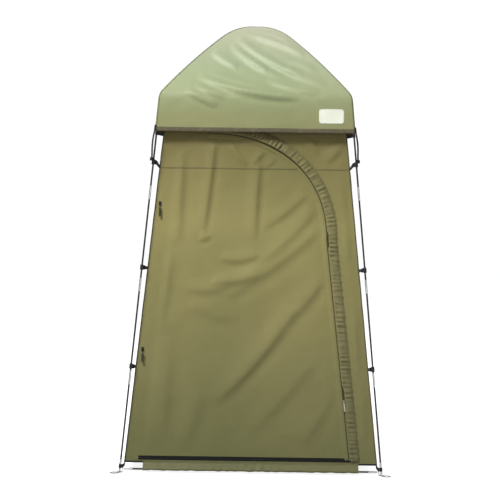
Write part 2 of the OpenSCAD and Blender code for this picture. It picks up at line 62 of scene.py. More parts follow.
door_low, door_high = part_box("door_panel")
fly_low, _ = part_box("fly_canopy")
band_low, band_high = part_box("fly_hem_band")
patch_low, patch_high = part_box("fly_label_patch")
sleeve_low, sleeve_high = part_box("sill_sleeve")
sill_low, sill_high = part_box("sill_pole_tubes")
slider_low, slider_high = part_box("zip_slider")

WALL_THICK = 0.003
LEAN = math.atan2(wall_high.y - wall_low.y - WALL_THICK, wall_high.z - wall_low.z)
SIN, COS = math.sin(LEAN), math.cos(LEAN)
WALL_BASE = (wall_low.z + WALL_THICK * SIN) / COS
WALL_TOP = wall_high.z / COS
WALL_HALF = -wall_low.y + WALL_BASE * SIN
EDGE = 0.002
DOOR_BASE = (door_low.z + WALL_THICK * SIN) / COS
DOOR_TOP = door_high.z / COS
HINGE_INSET = door_low.x - 0.001 + WALL_HALF - DOOR_BASE * SIN
ZIP_FOOT = door_high.x
SLIDER_H = (slider_low.z + slider_high.z) / 2 / COS
ZIP_RUN = 0.745
SILL_Y = (sill_low.y + sill_high.y) / 2
SILL_Z = (sill_low.z + sill_high.z) / 2

# The door's outline and the pole's path, which boxes don't tell
SPRING_H = 1.091 / COS
SPRING_U = 0.341
ARCH_U = -0.206
ARCH_POWER = 2.15
FOOT_T = 1.220 / math.sqrt(2)
FOOT_Z = 0.007
SHOULDER_T = 0.898 / math.sqrt(2)
SHOULDER_Z = 1.762
POLE_LIFT = 0.009
EAVE = math.radians(40)
CROWN = math.radians(31.6)
CROWN_R = 0.450
ELBOW_R = 0.060
RIDGE_OFF = 0.0066
CROWN_RISE = 0.0017
CORNERS = {"front_left": (225, 0.0), "front_right": (315, POLE_LIFT),
           "rear_right": (45, 0.0), "rear_left": (135, POLE_LIFT)}
CLIP_HEIGHTS = {"upper": 1.450, "middle": 0.955, "lower": 0.493}
LUG_REACH = 0.017
TIE_LOOP_Z = 1.585
FOOT_LOOP_Z = 0.030
SEAM_H = 1.425 / COS
FLY_STRAP = (1.470, 1.625)
CLOTH = 0.0008
TAPE_GAP = 0.00002

# Spacing of mesh rows
WALL_STEP = 0.009
DOOR_STEP = 0.0075
FLY_STEP = 0.0090


# ---------------------------------------------------------------- small tools
def unit(vectors):
    """Vectors in the last axis, brought to length 1."""
    return vectors / np.linalg.norm(vectors, axis=-1, keepdims=True)


def run_along(*columns):
    """Distance run at each point of a line given by its coordinates."""
    steps = np.stack([np.diff(column) for column in columns], -1)
    return np.concatenate([[0], np.cumsum(np.linalg.norm(steps, axis=1))])


def at_run(s, run, line):
    """Places on a line of points at distances s along it."""
    return np.stack([np.interp(s, run, column) for column in line.T], -1)


def pair(a, b):
    """Cloth coordinates for a grid from its two directions."""
    return np.stack(np.broadcast_arrays(a, b), -1)


def smooth(x, low, high):
    """0 below low, 1 above high, with soft ends."""
    t = np.clip((np.asarray(x, float) - low) / (high - low), 0, 1)
    return t * t * (3 - 2 * t)


def swell(u, h, seed, size, count=9):
    """Gentle aperiodic waves of about the given size, from -1 to 1."""
    rng = random.Random(seed)
    total = 0
    for _ in range(count):
        angle, phase = rng.uniform(0, math.pi), rng.uniform(0, 2 * math.pi)
        k = 2 * math.pi / (size * rng.uniform(0.6, 1.7))
        total = total + np.sin(k * (u * math.cos(angle) + h * math.sin(angle)) + phase)
    return total / math.sqrt(count) * 0.7


def fold(u, h, start, end, bow, width, depth):
    """A crest from start to end, bowed to its left: a long flank on its right, a steep one on its left."""
    a, b = np.array(start, float), np.array(end, float)
    way = b - a
    left = np.array([-way[1], way[0]]) / np.linalg.norm(way)
    middle = (a + b) / 2 + 2 * bow * left
    t = np.linspace(0, 1, 48)
    line = (1 - t)[:, None] ** 2 * a + (2 * t * (1 - t))[:, None] * middle + t[:, None] ** 2 * b
    slope_line = (1 - t)[:, None] * (middle - a) + t[:, None] * (b - middle)
    slope_line = unit(slope_line)
    du = np.asarray(u)[..., None] - line[:, 0]
    dh = np.asarray(h)[..., None] - line[:, 1]
    near = np.argmin(du * du + dh * dh, axis=-1)
    pick = near[..., None]
    du, dh = np.take_along_axis(du, pick, -1)[..., 0], np.take_along_axis(dh, pick, -1)[..., 0]
    side = (slope_line[near, 0] * dh - slope_line[near, 1] * du) / width
    past = (slope_line[near, 0] * du + slope_line[near, 1] * dh) / width
    taper = 1 - np.abs(2 * t[near] - 1) ** 3
    flank = np.where(side > 0, side / 0.80, side / 1.8)
    crest = np.exp(-flank ** 2) - 0.25 * np.exp(-((side - 1.6) / 0.9) ** 2)
    return depth * crest * taper * np.exp(-past ** 2)


def folds(u, h, table):
    """All the folds of a table together."""
    return sum(fold(u, h, *row) for row in table)


def turned(side, points):
    """Points of the front, turned to side 1 right, 2 rear or 3 left."""
    c, s = [(1, 0), (0, 1), (-1, 0), (0, -1)][side]
    x, y, z = points[..., 0], points[..., 1], points[..., 2]
    return np.stack([x * c - y * s, x * s + y * c, z], -1)


def on_wall(side, u, h, out):
    """Points of wall 0 front, 1 right, 2 rear, 3 left: sideways, up the slope and out of the wall."""
    u, h, out = np.broadcast_arrays(np.asarray(u, float), h, out)
    return turned(side, np.stack([u, -WALL_HALF + h * SIN - out * COS, h * COS + out * SIN], -1))


def outward(side):
    """The direction straight out of a wall."""
    return on_wall(side, 0, 0, 1) - on_wall(side, 0, 0, 0)


def half_at(h):
    """Half the width of a wall at a distance up its slope."""
    return WALL_HALF - h * SIN


def hinge_u(h):
    """Sideways place of the door's fold line."""
    return HINGE_INSET - half_at(h)


def zip_point(t, d):
    """The zip line a distance d outside the doorway: t runs 0 to 1 up the side, 1 to 2 over the arch."""
    t = np.asarray(t, float)
    rise = np.clip(t, 0, 1)
    u = ZIP_FOOT + (SPRING_U - ZIP_FOOT) * rise + d
    h = DOOR_BASE + (SPRING_H - DOOR_BASE) * rise
    a = np.clip(t - 1, 0, 1) * math.pi / 2
    power = 2 / ARCH_POWER
    arch_u = ARCH_U + (SPRING_U - ARCH_U + d) * np.clip(np.cos(a), 0, 1) ** power
    arch_h = SPRING_H + (DOOR_TOP - SPRING_H + d) * np.sin(a) ** power
    return np.where(t <= 1, u, arch_u), np.where(t <= 1, h, arch_h)


def even_zip(step):
    """Values of t that are about a step apart along the zip, and the distance run at each."""
    t = np.linspace(0, 2, 4001)
    u, h = zip_point(t, 0.0)
    run = run_along(u, h)
    s = np.linspace(0, run[-1], int(run[-1] / step) + 1)
    return np.interp(s, run, t), s


def mesh_object(name, points, faces, uv=None):
    """A smooth shaded mesh in the scene, with one cloth coordinate for each point."""
    mesh = bpy.data.meshes.new(name)
    mesh.from_pydata(np.asarray(points, float).reshape(-1, 3).tolist(), [], faces)
    if uv is not None:
        layer = mesh.uv_layers.new(name="UVMap")
        corner = np.zeros(len(mesh.loops), int)
        mesh.loops.foreach_get("vertex_index", corner)
        layer.data.foreach_set("uv", np.asarray(uv, float).reshape(-1, 2)[corner].ravel())
    mesh.polygons.foreach_set("use_smooth", [True] * len(mesh.polygons))
    piece = bpy.data.objects.new(name, mesh)
    bpy.context.scene.collection.objects.link(piece)
    return piece


def grid_faces(rows, columns, start=0, closed=False):
    """Quads of a grid of points; a closed one joins its last column to its first."""
    r, c = np.meshgrid(np.arange(rows - 1), np.arange(columns if closed else columns - 1), indexing="ij")
    n = (c + 1) % columns
    quads = np.stack([r * columns + c, r * columns + n, (r + 1) * columns + n, (r + 1) * columns + c], -1)
    return (quads.reshape(-1, 4) + start).tolist()


def cloth_piece(name, patches, thick=CLOTH, side_in=-1.0):
    """One sheet from grid patches of points and flat cloth coordinates, given a real thickness."""
    points, uvs, faces, start = [], [], [], 0
    for p, uv in patches:
        rows, columns = p.shape[:2]
        faces += grid_faces(rows, columns, start)
        points.append(p.reshape(-1, 3))
        uvs.append(uv.reshape(-1, 2))
        start += rows * columns
    piece = mesh_object(name, np.concatenate(points), faces, np.concatenate(uvs))
    work = bmesh.new()
    work.from_mesh(piece.data)
    bmesh.ops.remove_doubles(work, verts=work.verts, dist=2e-5)
    for edge in work.edges:
        edge.smooth = not edge.is_boundary
    work.to_mesh(piece.data)
    work.free()
    solid = piece.modifiers.new("thickness", "SOLIDIFY")
    solid.thickness = thick
    solid.offset = side_in
    return piece


def finish_piece(piece, body, material, slot, *nodes):
    """Give a piece its material and body, and hide the CAD nodes that it replaces; slot is not used."""
    piece.data.materials.append(materials[material])
    if body:
        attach(piece, body)
    if nodes:
        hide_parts(*nodes)
    return piece


def smooth_path(points, step):
    """A Catmull-Rom line through the points, resampled to about the given step."""
    p = np.asarray(points, float)
    p = np.concatenate([[2 * p[0] - p[1]], p, [2 * p[-1] - p[-2]]])
    t = np.linspace(0, 1, 24, endpoint=False)[:, None]
    out = []
    for a, b, c, d in zip(p, p[1:], p[2:], p[3:]):
        out.append(0.5 * (2 * b + (c - a) * t + (2 * a - 5 * b + 4 * c - d) * t ** 2
                          + (3 * b - a - 3 * c + d) * t ** 3))
    line = np.concatenate(out + [p[-2][None]])
    run = run_along(*line.T)
    s = np.linspace(0, run[-1], max(3, int(run[-1] / step) + 1))
    return at_run(s, run, line), s


def swept(rings, uv):
    """Points, faces and cloth coordinates of a skin over rings of points, with closed ends."""
    count, around = rings.shape[:2]
    faces = grid_faces(count, around, 0, closed=True)
    faces += [list(range(around - 1, -1, -1)), [around * (count - 1) + k for k in range(around)]]
    return rings.reshape(-1, 3), faces, uv.reshape(-1, 2)


def rounded_power(wave, power):
    """A wave from -1 to 1 with squarer shoulders for a power below 1."""
    return np.sign(wave) * np.abs(wave) ** power


def ribbon(path, wide_way, width, thick, step=0.002):
    """Webbing swept along a path, wide along wide_way."""
    line, s = smooth_path(path, step)
    ahead = unit(np.gradient(line, axis=0))
    wide = unit(np.asarray(wide_way, float))
    up = unit(np.cross(ahead, wide))
    a = np.linspace(0, 2 * math.pi, 16, endpoint=False)
    across = rounded_power(np.cos(a), 0.35) * width / 2
    proud = rounded_power(np.sin(a), 0.6) * thick / 2
    rib = 1 + 0.12 * np.sin(s / 0.0009)[:, None]
    rings = (line[:, None] + across[None, :, None] * wide
             + (proud[None] * rib)[..., None] * up[:, None])
    return swept(rings, pair(across[None] + 0.5 * proud[None], s[:, None]))


def many(name, parts):
    """One object from several (points, faces, uv) parts."""
    points, faces, uvs, start = [], [], [], 0
    for p, f, uv in parts:
        points.append(p)
        uvs.append(uv)
        faces += [[i + start for i in face] for face in f]
        start += len(p)
    return mesh_object(name, np.concatenate(points), faces, np.concatenate(uvs))


def stitch_row(line, normals, pitch=0.0052, length=0.0034, radius=0.00045):
    """A row of stitches that lie on a line of points, with one normal or one for each point."""
    run = run_along(*line.T)
    starts = np.arange(0, run[-1] - length, pitch)
    a, b = at_run(starts, run, line), at_run(starts + length, run, line)
    n = unit(at_run(starts, run, np.broadcast_to(normals, line.shape)))
    side = unit(np.cross(b - a, n))
    ring = [(radius, 0.3), (0, 1.3), (-radius, 0.3), (0, -0.5)]
    points = [a - n * radius * 0.5]
    for share in (0.22, 0.78):
        middle = a + (b - a) * share
        points += [middle + side * x + n * radius * y for x, y in ring]
    points.append(b - n * radius * 0.5)
    points = np.stack(points, 1)
    faces = []
    for k in range(len(starts)):
        o = 10 * k
        for j in range(4):
            m = (j + 1) % 4
            faces.append([o, o + 1 + m, o + 1 + j])
            faces.append([o + 1 + j, o + 1 + m, o + 5 + m, o + 5 + j])
            faces.append([o + 9, o + 5 + j, o + 5 + m])
    return points.reshape(-1, 3), faces, np.zeros((points.size // 3, 2))


# ---------------------------------------------------------------- materials
def linear(r, g, b):
    """A display colour from 0 to 255 as the renderer's linear one."""
    return [((c / 255 + 0.055) / 1.055) ** 2.4 if c > 10 else c / 255 / 12.92 for c in (r, g, b)] + [1]


WAVE_RATE = 20  # radians per unit in a wave texture


class Finish:
    """A Principled material with short calls for the nodes that feed it."""

    def __init__(self, name, roughness, **sockets):
        self.material = bpy.data.materials.new(name)
        self.material.use_nodes = True
        self.nodes = self.material.node_tree.nodes
        self.links = self.material.node_tree.links
        self.shader = self.nodes["Principled BSDF"]
        self.shader.inputs["Roughness"].default_value = roughness
        for socket, value in sockets.items():
            self.shader.inputs[socket.replace("_", " ")].default_value = value
        self.height = None

    def add(self, kind, **values):
        node = self.nodes.new(kind)
        for key, value in values.items():
            if key in node.inputs:
                node.inputs[key].default_value = value
            else:
                setattr(node, key, value)
        return node

    def place(self, space, scale):
        """Texture coordinates: UV along the cloth, or Object in metres."""
        source = self.add("ShaderNodeTexCoord")
        mapping = self.add("ShaderNodeMapping")
        mapping.inputs["Scale"].default_value = scale
        self.links.new(source.outputs[space], mapping.inputs["Vector"])
        return mapping.outputs["Vector"]

    def noise(self, space, scale, detail=2.0):
        node = self.add("ShaderNodeTexNoise", Detail=detail, Scale=1.0)
        self.links.new(self.place(space, scale), node.inputs["Vector"])
        return node.outputs["Fac"]

    def bands(self, space, pitch, direction):
        scale = 2 * math.pi / WAVE_RATE / pitch
        node = self.add("ShaderNodeTexWave", bands_direction=direction, Scale=1.0)
        self.links.new(self.place(space, (scale,) * 3), node.inputs["Vector"])
        return node.outputs["Fac"]

    def math(self, operation, a, b):
        node = self.add("ShaderNodeMath", operation=operation)
        for k, value in enumerate((a, b)):
            if isinstance(value, (int, float)):
                node.inputs[k].default_value = value
            else:
                self.links.new(value, node.inputs[k])
        return node.outputs[0]

    def ramp(self, value, low, high, dark, light):
        node = self.add("ShaderNodeValToRGB")
        first, last = node.color_ramp.elements
        first.position, first.color = low, dark
        last.position, last.color = high, light
        self.links.new(value, node.inputs["Fac"])
        return node.outputs["Color"]

    def mix(self, a, b, factor, blend="MIX"):
        node = self.add("ShaderNodeMix", data_type="RGBA", blend_type=blend)
        for k, value in ((0, factor), (6, a), (7, b)):
            if isinstance(value, (int, float, list, tuple)):
                node.inputs[k].default_value = value
            else:
                self.links.new(value, node.inputs[k])
        return node.outputs[2]

    def by_height(self, stops):
        """Painted light and shade that change with the height above the ground: pairs of height and linear
        colour.
        """
        split = self.add("ShaderNodeSeparateXYZ")
        self.links.new(self.place("Object", (1.0, 1.0, 1.0)), split.inputs["Vector"])
        top = stops[-1][0]
        node = self.add("ShaderNodeValToRGB")
        ramp = node.color_ramp
        while len(ramp.elements) < len(stops):
            ramp.elements.new(0.5)
        for element, (height, tint) in zip(ramp.elements, stops):
            element.position, element.color = height / top, [*tint, 1]
        self.links.new(self.math("DIVIDE", split.outputs["Z"], top), node.inputs["Fac"])
        return node.outputs["Color"]

    def colour(self, value):
        self.links.new(value, self.shader.inputs["Base Color"])

    def roughness(self, value, low, high):
        node = self.add("ShaderNodeMapRange")
        node.inputs["To Min"].default_value = low
        node.inputs["To Max"].default_value = high
        self.links.new(value, node.inputs["Value"])
        self.links.new(node.outputs["Result"], self.shader.inputs["Roughness"])

    def bump(self, value, distance, strength=1.0):
        node = self.add("ShaderNodeBump", Strength=strength, Distance=distance)
        self.links.new(value, node.inputs["Height"])
        if self.height is not None:
            self.links.new(self.height, node.inputs["Normal"])
        self.height = node.outputs["Normal"]
        self.links.new(self.height, self.shader.inputs["Normal"])


def shade(colour, factor):
    """A colour made darker or lighter."""
    return [c * factor for c in colour[:3]] + [1]


def taffeta(name, colour, roughness=0.62, pitch=0.0007, sheen=0.12, mottle=0.10,
            cool=(0.93, 1.0, 0.95), painted_shading=()):
    """Coated woven cloth: fine weave, faint slubs along the threads, soft blotches, painted light and shade
    by height.
    """
    f = Finish(name, roughness, Sheen_Weight=sheen, Sheen_Roughness=0.45, Specular_IOR_Level=0.35)
    blotch = f.noise("Object", (2.1, 2.1, 1.4), 2.0)
    slub = f.noise("UV", (900.0, 14.0, 1.0), 1.0)
    pick = f.noise("UV", (10.0, 700.0, 1.0), 1.0)
    other = [c * k for c, k in zip(colour, cool)] + [1]
    base = f.ramp(blotch, 0.3, 0.7, shade(other, 1 - mottle), shade(colour, 1 + mottle * 0.6))
    thread = f.math("ADD", slub, pick)
    base = f.mix(base, f.ramp(thread, 0.7, 1.35, shade(colour, 0.72), shade(colour, 1.22)), 0.16)
    # Painted light and shade by height, multiplied into the cloth's colour
    if painted_shading:
        base = f.mix(base, f.by_height(painted_shading), 1.0, "MULTIPLY")
    f.colour(base)
    weave = f.math("ADD", f.bands("UV", pitch, "X"), f.bands("UV", pitch, "Y"))
    f.roughness(blotch, roughness - 0.06, roughness + 0.07)
    f.bump(weave, 0.00006, 0.5)
    f.bump(f.noise("UV", (55.0, 42.0, 1.0), 3.0), 0.0011, 0.35)
    return f.material


def webbing(name, colour, pitch=0.0016, sheen=0.2):
    """Woven tape: ribs across it, a plain selvedge, dusty wear."""
    f = Finish(name, 0.78, Sheen_Weight=sheen, Sheen_Roughness=0.5, Specular_IOR_Level=0.25)
    rib = f.bands("UV", pitch, "Y")
    cross = f.bands("UV", pitch * 0.8, "X")
    wear = f.noise("Object", (40.0, 40.0, 40.0), 3.0)
    base = f.ramp(f.math("MULTIPLY", rib, cross), 0.0, 0.8, shade(colour, 0.55), shade(colour, 1.35))
    f.colour(f.mix(base, f.ramp(wear, 0.45, 0.75, shade(colour, 0.8), shade(colour, 1.9)), 0.3))
    f.roughness(wear, 0.68, 0.88)
    f.bump(f.math("ADD", rib, cross), 0.0003, 0.7)
    return f.material


def moulded(name, colour, roughness=0.42):
    """Moulded plastic: fine grain, softly worn patches."""
    f = Finish(name, roughness, Specular_IOR_Level=0.5)
    wear = f.noise("Object", (55.0, 55.0, 55.0), 4.0)
    f.colour(f.ramp(wear, 0.35, 0.8, colour, shade(colour, 1.8)))
    f.roughness(wear, roughness - 0.07, roughness + 0.12)
    f.bump(f.noise("Object", (1500.0, 1500.0, 1500.0), 2.0), 0.00008, 0.4)
    return f.material


def bright_steel(name, colour=(0.80, 0.81, 0.82, 1), roughness=0.28):
    """Rolled steel: drawn lines along the part, dull spots from handling."""
    f = Finish(name, roughness, Metallic=1.0)
    drawn = f.noise("Object", (900.0, 900.0, 6.0), 2.0)
    spots = f.noise("Object", (60.0, 60.0, 60.0), 4.0)
    f.colour(f.mix(f.ramp(drawn, 0.35, 0.7, shade(colour, 0.86), colour),
                   f.ramp(spots, 0.55, 0.75, colour, shade(colour, 0.66)), 0.35))
    f.roughness(f.math("ADD", f.math("MULTIPLY", drawn, 0.5), f.math("MULTIPLY", spots, 0.5)),
                roughness - 0.1, roughness + 0.2)
    f.bump(drawn, 0.00003, 0.6)
    return f.material


def fibreglass(name):
    """Black pultruded tube: glass streaks along it under a satin skin, with scuffs."""
    black = (0.010, 0.010, 0.012, 1)
    f = Finish(name, 0.36, Coat_Weight=0.25, Coat_Roughness=0.25)
    streak = f.noise("Object", (1100.0, 1100.0, 9.0), 2.0)
    scuff = f.noise("Object", (70.0, 70.0, 30.0), 5.0)
    f.colour(f.mix(f.ramp(streak, 0.4, 0.75, black, (0.035, 0.035, 0.038, 1)),
                   f.ramp(scuff, 0.6, 0.8, black, (0.09, 0.09, 0.09, 1)), 0.4))
    f.roughness(scuff, 0.28, 0.5)
    f.bump(streak, 0.00004, 0.5)
    return f.material


def braided(name, colour):
    """Plaited cord or twisted thread."""
    f = Finish(name, 0.7, Sheen_Weight=0.2)
    plait = f.math("ADD", f.bands("Object", 0.002, "DIAGONAL"), f.bands("Object", 0.0023, "Z"))
    f.colour(f.ramp(plait, 0.3, 1.6, shade(colour, 0.6), colour))
    f.bump(plait, 0.0003, 0.8)
    return f.material


# Painted shade by height, multiplied into the walls' cloth: darker towards the ground, and a painted shadow
# of the fly's hem across the top of the walls
WALL_COLOUR = linear(141, 134, 84)
FLY_COLOUR = linear(172, 178, 144)
WALL_PAINTED_SHADE = ((0.02, (0.54, 0.58, 0.57)), (0.35, (0.64, 0.67, 0.66)), (0.80, (0.88, 0.86, 0.84)),
             (1.15, (1.00, 0.96, 0.92)), (1.50, (0.67, 0.64, 0.57)), (1.66, (0.50, 0.42, 0.32)))
# Painted light by height on the fly: the crown lighter, the skirt darker and more olive
FLY_PAINTED_LIGHT = ((1.60, (0.60, 0.54, 0.39)), (1.68, (0.63, 0.58, 0.43)), (1.76, (0.68, 0.68, 0.57)),
            (1.92, (0.76, 0.78, 0.76)), (2.14, (1.00, 0.90, 1.05)))
materials = {
    "wall_cloth": taffeta("wall_taffeta", WALL_COLOUR, painted_shading=WALL_PAINTED_SHADE),
    "flap_cloth": taffeta("flap_taffeta", linear(133, 127, 84), mottle=0.14, painted_shading=WALL_PAINTED_SHADE),
    # Seam cloth a fifth darker than the walls: partly the thicker seam's own darker look, partly painted
    # shade for the dark line along it
    "seam_cloth": taffeta("seam_taffeta", shade(WALL_COLOUR, 0.80), painted_shading=WALL_PAINTED_SHADE),
    "fly_cloth": taffeta("fly_taffeta", FLY_COLOUR, roughness=0.5, sheen=0.2, mottle=0.06,
                         cool=(0.92, 1.02, 0.94), painted_shading=FLY_PAINTED_LIGHT),
    "fly_seam": taffeta("fly_seam_taffeta", shade(FLY_COLOUR, 0.80), painted_shading=FLY_PAINTED_LIGHT),
    "hem_tape": webbing("hem_binding", linear(104, 96, 74)),
    "black_webbing": webbing("black_webbing", (0.011, 0.011, 0.012, 1)),
    "edge_piping": webbing("corner_binding", linear(84, 86, 62)),
    "zip_tape": webbing("zip_knit", (0.008, 0.008, 0.007, 1), 0.001, 0.03),
    "side_tape": webbing("side_zip_knit", linear(80, 76, 49), 0.001, 0.03),
    "thread": braided("sewing_thread", linear(98, 95, 60)),
    "dark_thread": braided("dark_thread", (0.02, 0.02, 0.018, 1)),
    "dark_elastic": braided("dark_elastic", (0.03, 0.03, 0.028, 1)),
    "zip_teeth": moulded("zip_teeth_plastic", (0.006, 0.006, 0.006, 1), 0.8),
    "clip_plastic": moulded("clip_plastic", (0.012, 0.012, 0.013, 1)),
    "toggle_plastic": moulded("toggle_plastic", (0.03, 0.026, 0.018, 1), 0.5),
    "pull_plastic": moulded("pull_plastic", (0.36, 0.36, 0.29, 1), 0.4),
    "zip_metal": bright_steel("slider_metal", (0.42, 0.42, 0.38, 1), 0.45),
    "bright_steel": bright_steel("bright_steel"),
    "pole_fibreglass": fibreglass("pole_fibreglass"),
    "shock_cord": braided("shock_cord_braid", (0.75, 0.75, 0.72, 1)),
    "label_patch": taffeta("label_cloth", linear(226, 229, 212), pitch=0.0005, mottle=0.04,
                           cool=(0.98, 1.0, 0.97)),
}


# ---------------------------------------------------------------- shapes of the cloth
# Each fold: start, end, bow, width, depth, in metres across and up the front wall
DOOR_FOLDS = [
    ((-0.190, 1.600), (-0.246, 1.105), 0.004, 0.018, 0.0088),
    ((-0.205, 1.120), (-0.262, 1.100), 0.010, 0.016, 0.0060),
    ((0.020, 1.480), (0.000, 1.090), -0.004, 0.020, 0.0085),
    ((-0.345, 1.520), (-0.362, 1.060), 0.000, 0.026, 0.0080),
    ((-0.120, 1.560), (-0.030, 1.450), -0.008, 0.014, 0.0060),
    ((0.060, 1.550), (-0.012, 1.455), 0.006, 0.013, 0.0050),
    ((0.110, 1.500), (0.050, 1.440), 0.004, 0.012, 0.0035),
    ((0.030, 1.035), (-0.160, 1.010), 0.022, 0.020, 0.0070),
    ((0.040, 0.945), (-0.200, 0.900), 0.018, 0.022, 0.0070),
    ((0.330, 1.300), (0.020, 0.985), 0.016, 0.026, 0.0065),
    ((0.275, 1.350), (0.030, 1.150), 0.014, 0.020, 0.0050),
    ((0.335, 1.180), (-0.150, 0.820), 0.020, 0.030, 0.0075),
    ((0.365, 0.960), (0.145, 0.700), 0.006, 0.028, 0.0080),
    ((0.205, 0.790), (-0.190, 0.320), 0.026, 0.028, 0.0105),
    ((-0.100, 0.890), (-0.330, 0.870), 0.022, 0.024, 0.0060),
    ((-0.060, 0.720), (-0.300, 0.790), 0.010, 0.034, 0.0050),
    ((0.300, 0.560), (-0.020, 0.190), 0.012, 0.036, 0.0060),
    ((0.400, 0.420), (0.220, 0.130), 0.010, 0.032, 0.0055),
    ((-0.400, 0.640), (-0.430, 0.120), 0.004, 0.040, 0.0080),
    ((-0.250, 0.400), (-0.330, 0.110), 0.010, 0.038, 0.0055),
    ((-0.390, 1.040), (-0.440, 0.700), 0.004, 0.028, 0.0055),
]
WALL_FOLDS = [
    ((0.420, 1.560), (0.330, 1.470), 0.010, 0.018, 0.0050),
    ((0.250, 1.580), (0.300, 1.500), 0.004, 0.014, 0.0040),
    ((0.410, 1.380), (0.455, 0.960), 0.004, 0.024, 0.0045),
    ((0.500, 0.800), (0.480, 0.420), -0.004, 0.026, 0.0045),
    ((0.540, 0.480), (0.520, 0.120), 0.004, 0.026, 0.0040),
    ((-0.560, 0.470), (-0.560, 0.100), 0.002, 0.014, 0.0030),
]


def front_folds(u, h):
    """How far the door's and the front wall's cloth stands out."""
    return folds(u, h, DOOR_FOLDS) + folds(u, h, WALL_FOLDS) + 0.0020 * swell(u, h, 5, 0.45)


def crinkle(u, h, seed):
    """Fine unevenness of hanging cloth."""
    return 0.00055 * swell(u, h, seed, 0.09, 14) + 0.0009 * swell(u, h, seed + 1, 0.22, 10)


def puckers(along, across, reach, pitch, seed):
    """Short gathers that die away from a seam."""
    wander = 0.5 * swell(along, across, seed, 0.11)
    return np.exp(-across / reach) * np.sin(2 * math.pi * along / pitch + 3 * wander)


def wall_taut(u, h):
    """1 inside a wall, 0 at its sewn edges."""
    side = half_at(h) - np.abs(u)
    return (smooth(side, 0.002, 0.06) * smooth(h, WALL_BASE, WALL_BASE + 0.03)
            * smooth(WALL_TOP - h, 0, 0.05))


def zip_side(h):
    """Sideways place of the zip line at a height."""
    t = np.linspace(0, 2, 1501)
    u, line = zip_point(t, 0.0)
    return np.interp(h, line, u)


def zip_distance(u, h):
    """Shortest distance from places on the front wall to the zip line."""
    best = np.full(np.shape(u), 1.0)
    for a, b in zip(*zip_point(even_zip(0.006)[0], 0.0)):
        best = np.minimum(best, (u - a) ** 2 + (h - b) ** 2)
    return np.sqrt(best)


def door_out(u, h):
    """The door's cloth: taut along the zip, the fold line and its foot, over the tape at the zip."""
    inside = zip_distance(u, h)
    at_hinge = smooth(u - hinge_u(h), 0.0, 0.05)
    taut = smooth(inside, 0.014, 0.075) * at_hinge * smooth(h - DOOR_BASE, 0.006, 0.05)
    free = smooth(inside, 0.010, 0.024)
    placket = 0.0028 * (1 - smooth(inside, 0.0125, 0.020))
    gather = 0.0016 * puckers(u + h, inside, 0.030, 0.034, 12) * free
    strip = crinkle(u, h, 41) * wall_taut(u, h)
    fine = strip * (1 - at_hinge) + (crinkle(u, h, 30) * at_hinge + gather) * free
    return front_folds(u, h) * taut + fine + placket


def front_out(u, h):
    """The front wall's cloth beside, over and under the doorway."""
    outside = u - zip_side(np.minimum(h, DOOR_TOP))
    taut = wall_taut(u, h) * smooth(outside, 0.055, 0.10)
    flap_pull = 0.0014 * puckers(u + h, np.clip(outside - 0.055, 0, 1), 0.020, 0.030, 21)
    flap_pull = flap_pull * wall_taut(u, h) * smooth(outside, 0.045, 0.056)
    return front_folds(u, h) * taut + crinkle(u, h, 41) * wall_taut(u, h) + flap_pull


def random_folds(seed, low, high, half):
    """Soft hanging folds for a wall that nobody has drawn: long falls, and pulls from its corners."""
    rng = random.Random(seed)
    table = []
    for k in range(7):
        u = half * (-0.8 + 1.6 * (k + rng.uniform(0.2, 0.8)) / 7)
        top = high - rng.uniform(0.05, 0.5)
        table.append(((u, top), (u * 1.12 + rng.uniform(-0.04, 0.04), max(low, top - rng.uniform(0.4, 0.9))),
                      rng.uniform(-0.01, 0.01), rng.uniform(0.020, 0.034), rng.uniform(0.004, 0.008)))
    for s in (-1, 1):
        for z in CLIP_HEIGHTS.values():
            h = z / COS
            edge = s * (half_at(h) - 0.02)
            table.append(((edge, h), (edge - s * rng.uniform(0.18, 0.34), h - rng.uniform(0.12, 0.3)),
                          s * rng.uniform(0.01, 0.03), rng.uniform(0.016, 0.024), rng.uniform(0.004, 0.007)))
    for k in range(3):
        u, h = rng.uniform(-0.25, 0.25), rng.uniform(0.5, 1.2)
        table.append(((u - 0.13, h), (u + 0.13, h + rng.uniform(-0.06, 0.06)), -0.02, 0.024, 0.005))
    return table


SIDE_FOLDS = {side: random_folds(100 + side, WALL_BASE, WALL_TOP, 0.5) for side in (1, 2, 3)}


def wall_out(side, u, h):
    """How far a wall's cloth stands out."""
    if side == 0:
        return front_out(u, h)
    return ((folds(u, h, SIDE_FOLDS[side]) + 0.002 * swell(u, h, 60 + side, 0.5)) * wall_taut(u, h)
            + crinkle(u, h, 70 + side) * wall_taut(u, h))


def rows_of(low, high, step):
    """Heights from low to high, about a step apart."""
    return np.linspace(low, high, int((high - low) / step) + 1)


def right_edge(h):
    """Right edge of a wall's cloth, just inside the corner seam."""
    return half_at(h) - EDGE


def left_edge(h):
    """Left edge of a wall's cloth."""
    return EDGE - half_at(h)


def wall_patch(left, right, h, columns, out, side=0):
    """Grid over a wall between two edges given as functions of the height."""
    a, b = left(h)[:, None], right(h)[:, None]
    u = a + (b - a) * np.linspace(0, 1, columns)[None]
    hh = np.broadcast_to(h[:, None], u.shape)
    return on_wall(side, u, hh, out(u, hh)), pair(u, hh)


def arch_rows(step):
    """Heights of grid rows beside the zip: even up the side, even along the curve over the arch."""
    _, arch = zip_point(1 + np.linspace(0, 1, 110)[1:], 0.0)
    return np.concatenate([rows_of(DOOR_BASE, SPRING_H, step), arch])


def wall_piece(node, patches, body="tent", name=None):
    """A sheet of wall cloth, named after its CAD node unless a name is given."""
    piece = cloth_piece((name or node) + "_cloth", patches)
    return finish_piece(piece, body, "wall_cloth", "wall_cloth", node)


